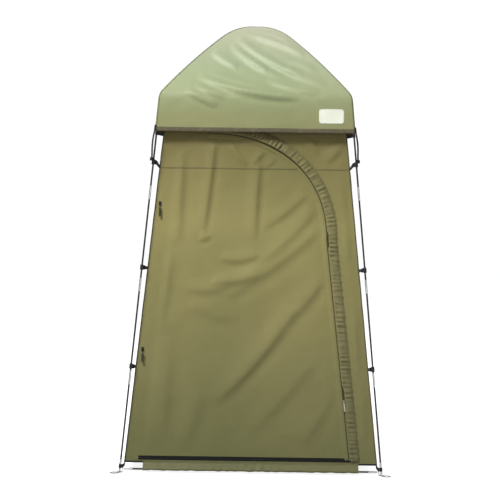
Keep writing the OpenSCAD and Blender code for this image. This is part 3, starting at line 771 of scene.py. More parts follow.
def make_front_wall():
    """Front wall: beside the zip, left of the door's fold, over the doorway and under it."""
    h = arch_rows(WALL_STEP)
    return wall_piece("front_wall", [
        wall_patch(lambda x: zip_side(x) + 0.0012, right_edge, h, 40, front_out),
        wall_patch(left_edge, hinge_u, h, 12, front_out),
        wall_patch(left_edge, right_edge, rows_of(DOOR_TOP, WALL_TOP, 0.008), 120, front_out),
        wall_patch(left_edge, right_edge, rows_of(WALL_BASE, DOOR_BASE, 0.004), 140, front_out)])


def make_side_wall(side, node):
    """A wall without an opening."""
    return wall_piece(node, [wall_patch(left_edge, right_edge, rows_of(WALL_BASE, WALL_TOP, WALL_STEP), 130,
                                        lambda u, h: wall_out(side, u, h), side)])


def make_door():
    """The door's cloth, from its fold line to the zip, clear of the zip along its foot."""
    h = arch_rows(DOOR_STEP)
    h[0] += 0.0055
    patch = wall_patch(hinge_u, lambda x: zip_side(x) + 0.0010, h, 130, door_out)
    return wall_piece("door_panel", [patch], None, "door")


def seam_strip(name, side, start, end, out, body, width=0.0075):
    """A felled seam across a wall, and its two rows of stitches."""
    u = np.linspace(start, end, int((end - start) / 0.006) + 2)
    uu, ww = np.meshgrid(u, np.linspace(-0.5, 0.5, 5))
    hh = SEAM_H + ww * width
    proud = 0.0010 * (1 - (2 * ww) ** 4) + 0.0002
    piece = cloth_piece(name, [(on_wall(side, uu, hh, out(uu, hh) + proud), pair(uu, hh))], 0.0010)
    finish_piece(piece, body, "seam_cloth", "wall_cloth")
    rows = []
    for w in (-0.3, 0.3):
        h = np.full_like(u, SEAM_H + w * width)
        rows.append(stitch_row(on_wall(side, u, h, out(u, h) + 0.0013), outward(side)))
    return piece, rows


# ---------------------------------------------------------------- the poles' lines
UP = np.array([0, 0, 1.0])


def corner_axes(azimuth):
    """Level directions out through a corner and sideways to it."""
    a = math.radians(azimuth)
    return np.array([math.cos(a), math.sin(a), 0]), np.array([-math.sin(a), math.cos(a), 0])


def leg_angle(lift):
    """Steepness of a leg; the pole that crosses on top is lifted."""
    return math.atan2(SHOULDER_Z + lift - FOOT_Z, FOOT_T - SHOULDER_T)


def leg_t(z, lift):
    """Distance of a leg's axis from the middle at a height."""
    return FOOT_T - (z - FOOT_Z) / math.tan(leg_angle(lift))


def ridge_line(off):
    """Distance from the middle and height along the fly's ridge, from the hem to the crown."""
    angle = leg_angle(POLE_LIFT)
    tangent = ELBOW_R * math.tan((angle - EAVE) / 2)
    top = np.array([SHOULDER_T + tangent * math.cos(angle),
                    SHOULDER_Z + POLE_LIFT - tangent * math.sin(angle)])
    eave = np.array([SHOULDER_T - tangent * math.cos(EAVE),
                     SHOULDER_Z + POLE_LIFT + tangent * math.sin(EAVE)])
    elbow = top - ELBOW_R * np.array([math.sin(angle), math.cos(angle)])
    rafter_r = (eave[0] - CROWN_R * math.sin(CROWN)) / (math.sin(EAVE) - math.sin(CROWN))
    rafter = eave - rafter_r * np.array([math.sin(EAVE), math.cos(EAVE)])
    crown = rafter + (rafter_r - CROWN_R) * np.array([math.sin(CROWN), math.cos(CROWN)])
    z = np.linspace(fly_low.z, top[1], 12)
    parts = [np.stack([leg_t(z, POLE_LIFT) + off / math.sin(angle), z], -1)]

    def arc(centre, r, a0, a1, lift0, lift1, count):
        a = np.linspace(a0, a1, count)
        reach = r + off + np.linspace(lift0, lift1, count)
        return centre + reach[:, None] * np.stack([np.sin(a), np.cos(a)], -1)

    parts.append(arc(elbow, ELBOW_R, angle, EAVE, 0, 0, 16)[1:])
    parts.append(arc(rafter, rafter_r, EAVE, CROWN, 0, 0, 24)[1:])
    parts.append(arc(crown, CROWN_R, CROWN, 0, 0, CROWN_RISE, 24)[1:])
    return np.concatenate(parts)


# ---------------------------------------------------------------- the fly
RIDGE = ridge_line(RIDGE_OFF)
FLY_TOP = RIDGE[-1][1]
FLY_COLUMNS = 110

# Start, end, bow, width, depth: across the face and by height, on the front of the fly
FLY_FOLDS = [
    ((0.235, 1.975), (-0.062, 2.088), -0.012, 0.0150, 0.0098),
    ((0.165, 2.045), (0.000, 2.110), -0.004, 0.0120, 0.0052),
    ((0.225, 1.868), (-0.095, 2.062), 0.018, 0.0145, 0.0118),
    ((0.060, 1.895), (-0.125, 2.035), 0.012, 0.0170, 0.0080),
    ((-0.085, 1.912), (-0.215, 1.990), 0.006, 0.0130, 0.0082),
    ((0.215, 1.762), (-0.285, 1.868), 0.030, 0.0155, 0.0125),
    ((0.060, 1.815), (-0.230, 1.890), 0.012, 0.0130, 0.0050),
    ((-0.180, 1.716), (-0.335, 1.792), 0.004, 0.0125, 0.0068),
    ((-0.150, 1.758), (-0.290, 1.818), 0.004, 0.0115, 0.0058),
    ((0.300, 1.782), (0.050, 1.852), 0.010, 0.0140, 0.0070),
    ((0.335, 1.825), (0.140, 1.905), 0.008, 0.0150, 0.0050),
    ((0.130, 1.862), (-0.060, 1.965), 0.008, 0.0160, 0.0045),
    ((0.280, 1.900), (0.090, 1.965), -0.006, 0.0130, 0.0040),
]


def varied_fly_folds(seed, mirrored):
    """The front's swags again for an unseen side, each moved and sized a little differently."""
    rng = random.Random(seed)
    table = []
    for start, end, bow, width, depth in FLY_FOLDS:
        shift = np.array([rng.uniform(-0.035, 0.035), rng.uniform(-0.018, 0.010)])
        start, end = np.array(start) + shift, np.array(end) + shift
        end = start + (end - start) * rng.uniform(0.75, 1.25)
        if mirrored:
            start, end = end * (-1, 1), start * (-1, 1)
        table.append((start, end, bow * rng.uniform(0.7, 1.3), width * rng.uniform(0.9, 1.3),
                      depth * rng.uniform(0.5, 0.95)))
    return table


FLY_TABLES = {0: FLY_FOLDS, 1: varied_fly_folds(201, True), 2: varied_fly_folds(202, False),
              3: varied_fly_folds(203, True)}


def fly_out(side, x, z, half):
    """How far the fly's cloth stands out between its ridges."""
    share = np.clip(np.abs(x) / np.maximum(half, 1e-6), 0, 1)
    held = smooth(1 - share, 0.0, 0.16) * smooth(FLY_TOP - z, 0.01, 0.08)
    low = smooth(z, fly_low.z, fly_low.z + 0.05)
    roof = smooth(z, SHOULDER_Z, SHOULDER_Z + 0.1) * smooth(FLY_TOP - z, 0.0, 0.15)
    hem = 0.0014 * np.sin(x * 26 + side) * (1 - low) * smooth(1 - share, 0, 0.1)
    fine = 0.0008 * swell(x, z, 300 + side, 0.11, 12) + 0.0014 * swell(x, z, 310 + side, 0.3)
    return (1.2 * folds(x, z, FLY_TABLES[side]) + fine * low) * held - 0.007 * (1 - share ** 2) * roof + hem


def fly_corner(t):
    """Radius of the fly's rounded corner where its ridge is a distance t from the middle."""
    return np.minimum(0.008, 0.6 * t)


def fly_half(t):
    """Half the fly's width there."""
    r = fly_corner(t)
    return (t - r) / math.sqrt(2) + r


def fly_skin(side, t, z, s):
    """One side of the fly with half of each rounded corner: points and cloth coordinates, and normals."""
    r, half = fly_corner(t)[:, None], fly_half(t)[:, None]
    flat = half - r
    x = np.linspace(-1, 1, FLY_COLUMNS)[None] * flat
    a = np.radians(np.linspace(45, 0, 5)[None, :-1])
    back = a[:, ::-1]
    y = np.concatenate([-flat - r * np.cos(a), -half * np.ones_like(x), -flat - r * np.cos(back)], 1)
    x = np.concatenate([-flat - r * np.sin(a), x, flat + r * np.sin(back)], 1)
    zz = np.broadcast_to(z[:, None], x.shape)
    slope = np.gradient(half[:, 0]) / np.maximum(np.gradient(z), 1e-6)
    normal = unit(np.stack([np.zeros_like(z), -np.ones_like(z), -slope], -1))
    points = np.stack([x, y, zz], -1) + fly_out(side, x, zz, half)[..., None] * normal[:, None]
    across = np.linspace(-1, 1, x.shape[1])[None] * half
    return turned(side, points), (across, s[:, None]), turned(side, normal)


def ridge_rows(step, start=0.0, stop=math.inf):
    """Evenly spaced rows along the ridge: distance from the middle, height, distance run."""
    run = run_along(*RIDGE.T)
    stop = min(run[-1], stop)
    s = np.linspace(start, stop, int((stop - start) / step) + 1)
    return np.interp(s, run, RIDGE[:, 0]), np.interp(s, run, RIDGE[:, 1]), s


def make_fly():
    """The fly's cloth, four sides that meet in rounded ridges."""
    t, z, s = ridge_rows(FLY_STEP)
    patches = []
    for side in range(4):
        points, along, _ = fly_skin(side, np.maximum(t, 0.0004), z, s)
        patches.append((points, pair(*along)))
    piece = cloth_piece("fly_cloth", patches, 0.0009)
    return finish_piece(piece, "fly", "fly_cloth", "fly_cloth", "fly_canopy")


def make_fly_hem():
    """Folded binding round the fly's lower edge, with two rows of stitches."""
    height = band_high.z - band_low.z
    t, z, s = ridge_rows(height / 6, 0.0, height)
    bulge = 0.0012 * (1 - ((s / height) * 2 - 1) ** 4) + 0.0006
    patches, rows = [], []
    for side in range(4):
        points, along, away = fly_skin(side, t, z, s)
        points = points + (bulge[:, None] * away)[:, None]
        patches.append((points, pair(*along[::-1])))
        rows += [stitch_row(points[k] + 0.0003 * away[k], away[k]) for k in (2, 5)]
    piece = cloth_piece("fly_hem_binding", patches, 0.0016, 0.0)
    finish_piece(piece, "fly", "hem_tape", "hem_tape", "fly_hem_band")
    return piece, rows


def make_ridge_seams():
    """Felled seam along each ridge of the fly."""
    t, z, _ = ridge_rows(0.008, 0.020)
    parts, rows = [], []
    for azimuth, _ in CORNERS.values():
        out, wide = corner_axes(azimuth)
        line = t[:, None] * out + z[:, None] * UP
        up = unit(np.cross(wide, np.gradient(line, axis=0)))
        up *= np.sign(up @ out + 0.3 * up[:, 2])[:, None]
        parts.append(ribbon(line + up * 0.0008, wide, 0.009, 0.0016, 0.008))
        rows += [stitch_row(line + up * 0.0018 + wide * w, up) for w in (-0.0026, 0.0026)]
    piece = many("fly_ridge_seams", parts)
    return finish_piece(piece, "fly", "fly_seam", "fly_cloth"), rows


def make_label():
    """Plain patch on the front of the skirt, with a stitched border."""
    cx, cz = (patch_low.x + patch_high.x) / 2, (patch_low.z + patch_high.z) / 2
    w, h = (patch_high.x - patch_low.x) / 2, (patch_high.z - patch_low.z) / 2
    normal = np.array([0, -COS, SIN])

    def on_skirt(x, z, lift):
        t = np.interp(z, RIDGE[:40, 1], RIDGE[:40, 0])
        half = fly_half(t)
        return np.stack([x, -half, z], -1) + (fly_out(0, x, z, half) + lift)[..., None] * normal

    def rounded(a, b):
        return cx + w * a * (1 - 0.07 * b ** 8), cz + h * b * (1 - 0.10 * a ** 12)

    a, b = np.meshgrid(np.linspace(-1, 1, 61), np.linspace(-1, 1, 37))
    x, z = rounded(a, b)
    rim = 0.0018 - 0.0012 * np.maximum(smooth(np.abs(a), 0.97, 1), smooth(np.abs(b), 0.96, 1))
    piece = cloth_piece("label_blank", [(on_skirt(x, z, rim), pair(x, z))], 0.0006)
    finish_piece(piece, "fly", "label_patch", "label_patch", "fly_label_patch")
    edge, one = np.linspace(-0.95, 0.95, 40), np.ones(40)
    x, z = rounded(np.concatenate([edge, 0.95 * one, -edge, -0.95 * one]),
                   np.concatenate([-0.93 * one, edge, 0.93 * one, -edge]))
    line = on_skirt(x, z, np.full_like(x, 0.0021))
    return piece, stitch_row(line, normal, pitch=0.0036, length=0.0025)


# ---------------------------------------------------------------- trims of the walls
def make_flap():
    """Gathered flap beside the zip: sewn on its outer edge, rolled over on its inner edge."""
    t, s = even_zip(0.0035)
    across = np.linspace(0, 1, 15)
    share = (0, 0.05, 0.11, 0.24, 0.45, 0.70, 0.90, 1)
    shape_d, shape_o, aside = (np.interp(across, share, row) for row in (
        (0.0075, 0.0042, 0.0050, 0.0100, 0.0200, 0.0340, 0.0460, 0.0530),
        (0.0105, 0.0116, 0.0128, 0.0134, 0.0122, 0.0090, 0.0046, 0.0010),
        (0.0135, 0.0112, 0.0122, 0.0160, 0.0240, 0.0360, 0.0465, 0.0530)))
    ss, aa = np.meshgrid(s, across, indexing="ij")
    home = np.interp(SLIDER_H, zip_point(t, 0.0)[1], s)
    parted = smooth(0.080 - np.abs(s - home - 0.010), 0.0, 0.045)
    parted = parted + smooth(0.048 - np.abs(s - home - ZIP_RUN - 0.018), 0.0, 0.026)
    belly = np.sin(math.pi * np.clip(aa * 0.9 + 0.1, 0, 1)) ** 0.7
    rng = random.Random(81)
    gather = 0
    for _ in range(9):
        pitch, lean, phase = rng.uniform(0.011, 0.036), rng.uniform(-1.6, 2.4), rng.uniform(0, 6.28)
        gather = gather + np.sin(2 * math.pi * ss / pitch + lean * aa + phase)
    gather = gather / 2.6
    sharp = rounded_power(gather, 0.8)
    strength = 0.75 + 0.45 * swell(ss, 0 * ss, 83, 0.09)
    dd = shape_d + (aside - shape_d) * parted[:, None] + 0.0009 * gather * np.exp(-aa / 0.08)
    u, h = zip_point(t[:, None], dd)
    held = smooth(aa, 0.06, 0.35)
    lift = 0.0024 * belly * sharp * strength * held
    lift = lift + 0.0016 * belly * swell(ss, aa * 0.06, 85, 0.05) * held
    out = np.maximum(shape_o[None] + lift + 0.0005 * np.abs(gather), 0.0010)
    points = on_wall(0, u, h, out + crinkle(u, h, 41) * wall_taut(u, h))
    piece = cloth_piece("zip_flap_cloth", [(points, pair(aa * 0.06, ss))], 0.0010)
    finish_piece(piece, "tent", "flap_cloth", "flap_cloth", "zip_cover_flap")
    return piece, [stitch_row(points[:, k] + 0.0006 * outward(0), outward(0)) for k in (12, 13)]


def tape_strip(line_low, line_high, proud=0.0012):
    """Flat knitted tape between two lines of wall coordinates."""
    share = np.linspace(0, 1, 5)[:, None]
    u, h = (low[None] + (high - low)[None] * share for low, high in zip(line_low, line_high))
    out = 0.0002 + proud * (1 - 0.5 * (2 * share - 1) ** 6)
    return on_wall(0, u, h, out), pair(share * 0.012, run_along(*line_low)[None])


def teeth(line_u, line_h, inward_u, inward_h, base=0.00135):
    """Moulded teeth along a zip line, each a small wedge that points across the line."""
    run = run_along(line_u, line_h)
    s = np.arange(0.001, run[-1], 0.0036)
    u, h, iu, ih = (np.interp(s, run, values) for values in (line_u, line_h, inward_u, inward_h))
    points = []
    for across, wide in ((0.0, 0.0011), (0.0030, 0.0008)):
        for a, o in ((-wide, 0.0), (wide, 0.0), (wide, 0.0005), (-wide, 0.0005)):
            points.append(on_wall(0, u + iu * across - ih * a, h + ih * across + iu * a, base + o))
    points = np.stack(points, 1)
    box = [[0, 1, 2, 3], [7, 6, 5, 4], [0, 4, 5, 1], [1, 5, 6, 2], [2, 6, 7, 3], [3, 7, 4, 0]]
    faces = [[8 * k + i for i in face] for k in range(len(s)) for face in box]
    return points.reshape(-1, 3), faces, np.zeros((points.size // 3, 2))


def make_zip():
    """Both halves of the zip. Returns the foot's pieces on the door side."""
    t, _ = even_zip(0.006)
    whole = np.linspace(hinge_u(DOOR_BASE) + 0.001, ZIP_FOOT + 0.012, 160)
    made = {}
    for name, body, node, sign, lines, flat, foot in (
            ("zip_tape_wall_side", "tent", "zip_wall_tape", 1, (TAPE_GAP, 0.012),
             whole, (-0.008, -TAPE_GAP)),
            ("zip_tape_door_side", "door", "zip_door_tape", -1, (-0.012, -TAPE_GAP),
             whole[whole < ZIP_FOOT - 0.010], (TAPE_GAP, 0.0110))):
        up = tape_strip(*(zip_point(t, d) for d in lines))
        along = tape_strip(*((flat, DOOR_BASE + d + 0 * flat) for d in foot))
        finish_piece(cloth_piece(name, [up], 0.0008), body, "side_tape", "zip_tape", node)
        strip = cloth_piece(name + "_foot", [along], 0.0008)
        u, h = zip_point(t, sign * 0.0006)
        way_u, way_h = np.gradient(u), np.gradient(h)
        size = np.hypot(way_u, way_h)
        tooth = many(name + "_teeth", [
            teeth(u, h, sign * way_h / size, -sign * way_u / size),
            teeth(flat, DOOR_BASE - sign * 0.0006 + 0 * flat, 0 * flat, -sign + 0 * flat)])
        tooth.data.polygons.foreach_set("use_smooth", [False] * len(tooth.data.polygons))
        made[body] = [strip, tooth]
        for piece, material in zip(made[body], ("zip_tape", "zip_teeth")):
            finish_piece(piece, "tent" if body == "tent" else None, material, "zip_tape")
    return made["door"]


def make_sleeve():
    """Sleeve of wall cloth round the sill pole, hanging from the front wall's lower edge."""
    r, a = 0.0062, np.radians(np.linspace(60, 240, 12))
    _, lip_y, lip_z = on_wall(0, 0.0, WALL_BASE, 0.0)
    _, top_y, top_z = on_wall(0, 0.0, WALL_BASE + 0.0125, 0.0034)
    y = np.concatenate([[top_y, lip_y - 0.0050, SILL_Y - 0.0010], SILL_Y - r * np.sin(a),
                        [SILL_Y + 0.0105, lip_y + 0.0012]])
    z = np.concatenate([[top_z, lip_z - 0.0030, SILL_Z + 0.0085], SILL_Z + r * np.cos(a),
                        [SILL_Z + 0.0060, lip_z - 0.0010]])
    line, s = smooth_path(np.stack([0 * y, y, z], -1), 0.0022)
    xx, kk = np.meshgrid(np.linspace(sleeve_low.x, sleeve_high.x, 260), np.arange(len(line)), indexing="ij")
    normal = unit(np.cross(np.gradient(line, axis=0), [-1.0, 0, 0]))
    ss = s[kk]
    free = np.sin(math.pi * np.clip(ss / s[-1], 0, 1)) ** 0.5
    crease = 0.0011 * swell(xx, ss * 3.0, 91, 0.06, 12)
    crease = crease + 0.0008 * np.sin(xx * 150 + 40 * ss) * swell(xx, ss, 92, 0.2)
    points = np.stack([xx, line[kk, 1], line[kk, 2]], -1) + (crease * free)[..., None] * normal[kk]
    points[..., 2] = np.maximum(points[..., 2], 0.0104)
    piece = cloth_piece("sill_sleeve_cloth", [(points, pair(xx, ss))], 0.0009, 0.0)
    return finish_piece(piece, "tent", "flap_cloth", "wall_cloth", "sill_sleeve")


def seam_t(z):
    """Distance of a wall's corner seam from the middle at a height."""
    return math.sqrt(2) * (half_at(z / COS) - 0.0015)


def make_corner_binding():
    """Bound seam down each corner of the walls."""
    parts = []
    z = np.linspace(WALL_BASE * COS, WALL_TOP * COS, 200)
    for index, (azimuth, _) in enumerate(CORNERS.values()):
        out, side = corner_axes(azimuth)
        wave = 0.0007 * swell(z, 0 * z, 400 + index, 0.12)
        line = seam_t(z)[:, None] * out + z[:, None] * UP + wave[:, None] * side
        parts.append(ribbon(line, side, 0.0060, 0.0052, 0.008))
    piece = many("corner_binding", parts)
    return finish_piece(piece, "tent", "edge_piping", "edge_piping", "corner_piping")


def make_wall_hems():
    """Binding round the lower edge of the walls outside, webbing round the upper edge inside."""
    rows = []
    for name, node, h0, h1, gap in (
            ("base_hem_tape", "base_hem_binding", WALL_BASE - 0.0005, WALL_BASE + 0.0075, 0.0008),
            ("top_hem_tape", "top_hem_webbing", WALL_TOP - 0.025, WALL_TOP - 0.001, -0.0022)):
        patches = []
        for side in range(4):
            hh, uu = np.meshgrid(np.linspace(h0, h1, 6), np.linspace(-1, 1, 150), indexing="ij")
            uu = uu * (half_at(hh) - 0.004)
            out = wall_out(side, uu, hh) + gap + 0.0004 * np.sin(uu * 60 + side)
            patches.append((on_wall(side, uu, hh, out), pair(hh, uu)))
            if gap > 0:
                rows.append(stitch_row(on_wall(side, uu[4], hh[4], out[4] + 0.0003), outward(side)))
        black_piece(cloth_piece(name, patches, 0.0012, 0.0), node)
    return rows


# ---------------------------------------------------------------- webbing at the legs
def leg_frame(corner, z):
    """The leg's axis at a height, and its outward, upward and sideways directions."""
    azimuth, lift = CORNERS[corner]
    out, side = corner_axes(azimuth)
    sin, cos = math.sin(leg_angle(lift)), math.cos(leg_angle(lift))
    return leg_t(z, lift) * out + z * UP, out * sin + UP * cos, UP * sin - out * cos, -side


def corner_reach(corner, z):
    """Distance from the leg's axis in to the wall's corner seam."""
    return leg_t(z, CORNERS[corner][1]) - seam_t(z) - 0.0030


def box_stitch(middle, along, across, normal, length, width):
    """Stitched box with a cross, as webbing is sewn."""
    a, b = along * length / 2, across * width / 2
    line = [middle - a - b, middle + a - b, middle + a + b, middle - a + b, middle - a - b, middle + a + b]
    dense = np.concatenate([np.linspace(p, q, 8)[:-1] for p, q in zip(line, line[1:])])
    return stitch_row(dense, normal, pitch=0.0030, length=0.0021, radius=0.00035)


def black_piece(piece, node, body="tent"):
    """Finish a piece as black webbing."""
    return finish_piece(piece, body, "black_webbing", "black_webbing", node)


def make_clip_straps(level):
    """Webbing from each wall corner, looped through the clip's slot and sewn back on itself."""
    z = CLIP_HEIGHTS[level]
    parts, rows = [], []
    for corner in CORNERS:
        middle, out, up, side = leg_frame(corner, z)
        reach = corner_reach(corner, z)
        sewn = min(LUG_REACH + 0.016, reach - 0.006)
        bight = [(-LUG_REACH + x, w) for x, w in (
            (-0.0040, 0.0046), (0.0005, 0.0056), (0.0042, 0.0046), (0.0046, 0.0),
            (0.0042, -0.0046), (0.0005, -0.0056), (-0.0040, -0.0046))]
        loop = [(-reach, 0.0), (-(reach + sewn) / 2, 0.0009), (-sewn, 0.0012), *bight,
                (-sewn, -0.0010), (-(reach + sewn) / 2, -0.0010), (-reach + 0.003, -0.0010)]
        drop = 0.016 if level == "upper" else 0.0
        path = [middle + out * x + side * w - up * drop * float(smooth(-x, LUG_REACH, reach))
                for x, w in loop]
        parts.append(ribbon(path, up, 0.0150, 0.0014, 0.0022))
        spot = middle - out * (reach + sewn) / 2 + side * 0.0018
        rows.append(box_stitch(spot, out, up, side, min(0.016, reach - sewn - 0.004), 0.010))
    black_piece(many(level + "_clip_webbing", parts), level + "_clip_straps")
    return rows


def make_leg_loops(name, node, z, drop, width, radius):
    """Webbing from each wall corner that wraps right round the leg and is sewn back on itself."""
    parts, rows = [], []
    for corner in CORNERS:
        middle, out, up, side = leg_frame(corner, z)
        reach = corner_reach(corner, max(z, WALL_BASE * COS + 0.002)) if drop == 0 else (
            leg_t(z, CORNERS[corner][1]) - math.sqrt(2) * half_at(WALL_BASE) + 0.004)
        way = -(reach + radius) * 0.6
        turn = [(radius * math.cos(a), radius * math.sin(a), 0.0)
                for a in np.radians(np.linspace(140, -140, 11))]
        loop = [(-reach, 0.0008, drop), (way, 0.0010, drop * 0.5), (-radius - 0.010, 0.0016, 0.0), *turn,
                (-radius - 0.010, -0.0016, 0.0), (way, -0.0010, drop * 0.5), (-reach + 0.004, -0.0010, drop)]
        path = [middle + out * x + side * w + up * d for x, w, d in loop]
        parts.append(ribbon(path, up, width, 0.0013, 0.0022))
        spot = middle - out * (radius + 0.014) + side * 0.0024
        rows.append(box_stitch(spot, out, up, side, 0.009, width * 0.6))
    black_piece(many(name, parts), node)
    return rows


def make_fly_straps():
    """Straps sewn to the fly's corners, hanging slack down to their hooks."""
    low, high = FLY_STRAP
    parts, rows = [], []
    for corner in CORNERS:
        middle, out, up, side = leg_frame(corner, low)
        gap = 0.0125
        path = [middle + out * (gap + bow) + up * rise for bow, rise in (
            (0.0005, -0.004), (0.0012, 0.012), (0.0050, 0.045), (0.0062, 0.075), (0.0040, 0.105),
            (0.0008, 0.128), (0.0000, high - low))]
        parts.append(ribbon(path, side, 0.0120, 0.0013, 0.0025))
        sewn = middle + out * (gap + 0.0012) + up * (high - low - 0.013)
        rows.append(box_stitch(sewn, up, side, out, 0.014, 0.008))
    black_piece(many("fly_corner_webbing", parts), "fly_corner_straps", "fly")
    return rows


def make_crossing_loop():
    """Webbing tied round the poles where they cross."""
    low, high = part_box("crossing_strap")
    cx, cz = (low.x + high.x) / 2, (low.z + high.z) / 2
    w, h = (high.x - low.x) / 2 - 0.0008, (high.z - low.z) / 2 - 0.0008
    a = np.radians(np.linspace(0, 400, 41))
    overlap = np.where(np.degrees(a) > 360, 0.0012, 0.0)
    path = np.stack([cx + w * rounded_power(np.cos(a), 0.55) + overlap * np.cos(a), 0 * a,
                     cz + h * rounded_power(np.sin(a), 0.55) + overlap * np.sin(a)], -1)
    piece = many("crossing_webbing", [ribbon(path, (0, 1, 0), 0.015, 0.0013, 0.002)])
    return black_piece(piece, "crossing_strap")


def make_toggle_tabs():
    """Sewn tabs that hold the toggles' loops."""
    parts, rows = [], []
    for name in ("upper_toggle_cord", "lower_toggle_cord"):
        low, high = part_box(name)
        h, u = high.z / COS, (low.x + high.x) / 2
        path = [on_wall(0, u, h + up, out) for up, out in (
            (0.0235, 0.0012), (0.0140, 0.0012), (0.0052, 0.0012), (0.0040, 0.0022), (0.0052, 0.0032),
            (0.0140, 0.0030), (0.0215, 0.0027))]
        parts.append(ribbon(path, (1, 0, 0), 0.012, 0.0012, 0.0015))
        rows.append(box_stitch(on_wall(0, u, h + 0.014, 0.0037), np.array([0, SIN, COS]),
                               np.array([1.0, 0, 0]), outward(0), 0.010, 0.008))
    black_piece(many("toggle_tab_webbing", parts), "toggle_anchors")
    return rows


def tube(path, radius, step=0.0008):
    """A round cord along a path that runs square to the door's width, with its braid standing proud."""
    line, s = smooth_path(path, step)
    side = np.array([1.0, 0, 0])
    up = np.cross(side, unit(np.gradient(line, axis=0)))
    a = np.linspace(0, 2 * math.pi, 12, endpoint=False)
    swollen = radius * (1 + 0.10 * np.sin(3 * a[None] + s[:, None] / 0.0006))
    rings = (line[:, None] + (swollen * np.cos(a))[..., None] * side
             + (swollen * np.sin(a))[..., None] * up[:, None])
    return swept(rings, np.zeros((len(line), 12, 2)))


def make_toggle_loops():
    """Elastic loop of each toggle: two strands through the barrel, knotted on its face."""
    for body, node in (("upper_tie", "upper_toggle_cord"), ("lower_tie", "lower_toggle_cord")):
        low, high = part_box(node)
        h, u = (high.z - 0.0004) / COS, (low.x + high.x) / 2
        parts = []
        for side in (-0.0009, 0.0009):
            path = [on_wall(0, u + side * wide, h + up, out) for wide, up, out in (
                (0.2, 0.0, 0.0012), (1.0, -0.004, 0.0012), (1.4, -0.012, 0.0013), (1.0, -0.020, 0.0015),
                (0.8, -0.0245, 0.0028), (0.8, -0.0260, 0.0057), (0.8, -0.0262, 0.0137))]
            parts.append(tube(path, 0.0008))
        knot = [on_wall(0, u + 0.0016 * math.cos(a), h - 0.0262 + 0.0016 * math.sin(a),
                        0.0136 + 0.0012 * math.sin(2 * a)) for a in np.linspace(0, 5.6, 9)]
        parts.append(tube(knot, 0.0011))
        finish_piece(many(node.replace("_cord", "_elastic"), parts), body, "dark_elastic",
                     "black_webbing", node)


# ---------------------------------------------------------------- the stage
AMBIENT = 0.27
BACKDROP = 1.05
FLOOR_GLOW = 0.88
AIM = (0, 0, 1.1)
# Name, place, size in metres, power in watts
LIGHTS = (("key", (-3.2, -3.4, 6.2), 1.6, 520),
          ("fill", (3.0, -7.0, 2.2), 3.5, 70),
          ("rim", (3.0, 4.5, 4.5), 3.0, 150))


def make_stage():
    """White floor and backdrop, and three soft lamps."""
    scene = bpy.context.scene
    corners = [(-30, -30, 0), (30, -30, 0), (30, 30, 0), (-30, 30, 0)]
    floor = mesh_object("stage_floor", corners, [[0, 1, 2, 3]])
    f = Finish("stage_white", 0.9, Specular_IOR_Level=0.1)
    f.shader.inputs["Base Color"].default_value = (0.55, 0.55, 0.55, 1)
    f.shader.inputs["Emission Color"].default_value = (1, 1, 1, 1)
    seen = f.add("ShaderNodeLightPath").outputs["Is Camera Ray"]
    f.links.new(f.math("MULTIPLY", seen, FLOOR_GLOW), f.shader.inputs["Emission Strength"])
    floor.data.materials.append(f.material)
    world = bpy.data.worlds.new("studio")
    world.use_nodes = True
    back = world.node_tree.nodes["Background"]
    back.inputs["Color"].default_value = (1, 1, 1, 1)
    seen = world.node_tree.nodes.new("ShaderNodeLightPath")
    level = world.node_tree.nodes.new("ShaderNodeMapRange")
    level.inputs["To Min"].default_value = AMBIENT
    level.inputs["To Max"].default_value = BACKDROP
    world.node_tree.links.new(seen.outputs["Is Camera Ray"], level.inputs["Value"])
    world.node_tree.links.new(level.outputs["Result"], back.inputs["Strength"])
    scene.world = world
    for name, place, size, power in LIGHTS:
        light = bpy.data.lights.new(name, "AREA")
        light.energy, light.size = power, size
        lamp = bpy.data.objects.new(name, light)
        lamp.location = place
        aim = Vector(AIM) - Vector(place)
        lamp.rotation_euler = aim.to_track_quat("-Z", "Y").to_euler()
        scene.collection.objects.link(lamp)
    scene.view_settings.view_transform = "Standard"
    scene.view_settings.look = "None"


# The camera's place in metres, focal length in mm and tilts in degrees
EYE = (0, -8.5, 1.3)
LENS = 122.5
PITCH, YAW, ROLL = -1.85, 0.12, 0.8


def make_camera():
    """Long lens at eye height, square to the door, with the slight roll of the photograph."""
    camera = bpy.data.cameras.new("camera")
    camera.sensor_width = 36
    camera.lens = LENS
    holder = bpy.data.objects.new("camera", camera)
    holder.location = EYE
    pitch, yaw, roll = math.radians(PITCH), math.radians(YAW), math.radians(ROLL)
    holder.rotation_mode = "QUATERNION"
    look = Euler((math.radians(90) + pitch, 0, yaw)).to_quaternion()
    holder.rotation_quaternion = look @ Euler((0, 0, roll)).to_quaternion()
    bpy.context.scene.collection.objects.link(holder)
    bpy.context.scene.camera = holder


# ---------------------------------------------------------------- everything
# Cut size: the share of the door's arch that is cloth
ARCH_FILL = 0.88

make_camera()
make_stage()

for node, piece in frame["nodes"].items():
    wanted = next((s["material_slot"] for s in frame["record"]["subparts"] if s["node"] == node), None)
    if wanted in materials:
        piece.data.materials.clear()
        piece.data.materials.append(materials[wanted])

front_wall = make_front_wall()
side_walls = [make_side_wall(side, node)
              for side, node in ((1, "right_wall"), (2, "rear_wall"), (3, "left_wall"))]
door = make_door()
flap, tent_rows = make_flap()
foot_pieces = make_zip()
sleeve = make_sleeve()
make_corner_binding()
tent_rows += make_wall_hems()

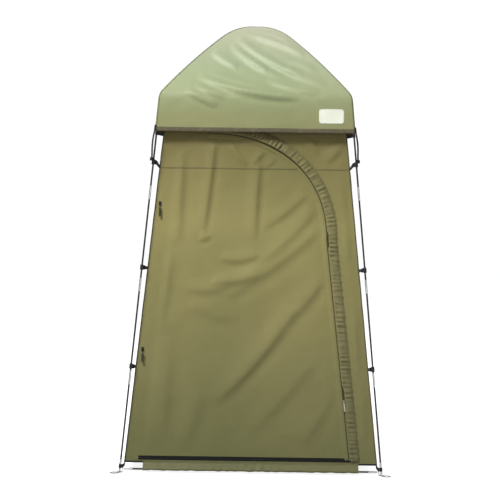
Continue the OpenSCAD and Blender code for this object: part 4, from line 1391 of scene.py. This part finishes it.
seam_end, zip_at_seam = half_at(SEAM_H) - 0.004, float(zip_side(SEAM_H))
for name, side, start, end in (
        ("front_seam_right", 0, zip_at_seam + 0.058, seam_end),
        ("front_seam_left", 0, -seam_end, hinge_u(SEAM_H)),
        ("wall_seam_1", 1, -seam_end, seam_end),
        ("wall_seam_2", 2, -seam_end, seam_end),
        ("wall_seam_3", 3, -seam_end, seam_end)):
    _, rows = seam_strip(name, side, start, end, lambda u, h: wall_out(side, u, h), "tent")
    tent_rows += rows
door_seam, door_rows = seam_strip("door_seam", 0, hinge_u(SEAM_H), zip_at_seam - 0.014, door_out, None)

fly = make_fly()
fly_hem, fly_rows = make_fly_hem()
ridge_seams, seam_rows = make_ridge_seams()
label, label_row = make_label()
fly_rows += seam_rows + [label_row]

dark_rows = []
for level in CLIP_HEIGHTS:
    dark_rows += make_clip_straps(level)
dark_rows += make_leg_loops("top_corner_webbing", "top_corner_straps", TIE_LOOP_Z, 0.0, 0.014, 0.0056)
dark_rows += make_leg_loops("base_corner_webbing", "base_corner_straps", FOOT_LOOP_Z, 0.012, 0.018, 0.0062)
fly_dark = make_fly_straps()
make_crossing_loop()
make_toggle_loops()
dark_rows += make_toggle_tabs()

for name, rows, body, thread, slot in (
        ("wall_stitching", tent_rows, "tent", "thread", "wall_cloth"),
        ("strap_stitching", dark_rows, "tent", "dark_thread", "black_webbing"),
        ("door_stitching", door_rows, None, "thread", "wall_cloth"),
        ("fly_stitching", fly_rows, "fly", "thread", "fly_cloth"),
        ("fly_strap_stitching", fly_dark, "fly", "dark_thread", "black_webbing")):
    finish_piece(many(name, rows), body, thread, slot)

# The axis of the door's fold line, and the door's pieces with their placing baked in
hinge_h = (DOOR_BASE + DOOR_TOP) / 2
bend_at = Vector(on_wall(0, hinge_u(hinge_h), hinge_h, 0))
bend_way = Vector(on_wall(0, COS, -SIN, 0) - on_wall(0, 0, 0, 0)).normalized()
for piece in (door, door_seam, bpy.data.objects["door_stitching"], *foot_pieces):
    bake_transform(piece)

foot_width, spring_width = ZIP_FOOT - hinge_u(DOOR_BASE), SPRING_U - hinge_u(SPRING_H)
door_area = 0.5 * (foot_width + spring_width) * (SPRING_H - DOOR_BASE)
door_area += ARCH_FILL * spring_width * (DOOR_TOP - SPRING_H)
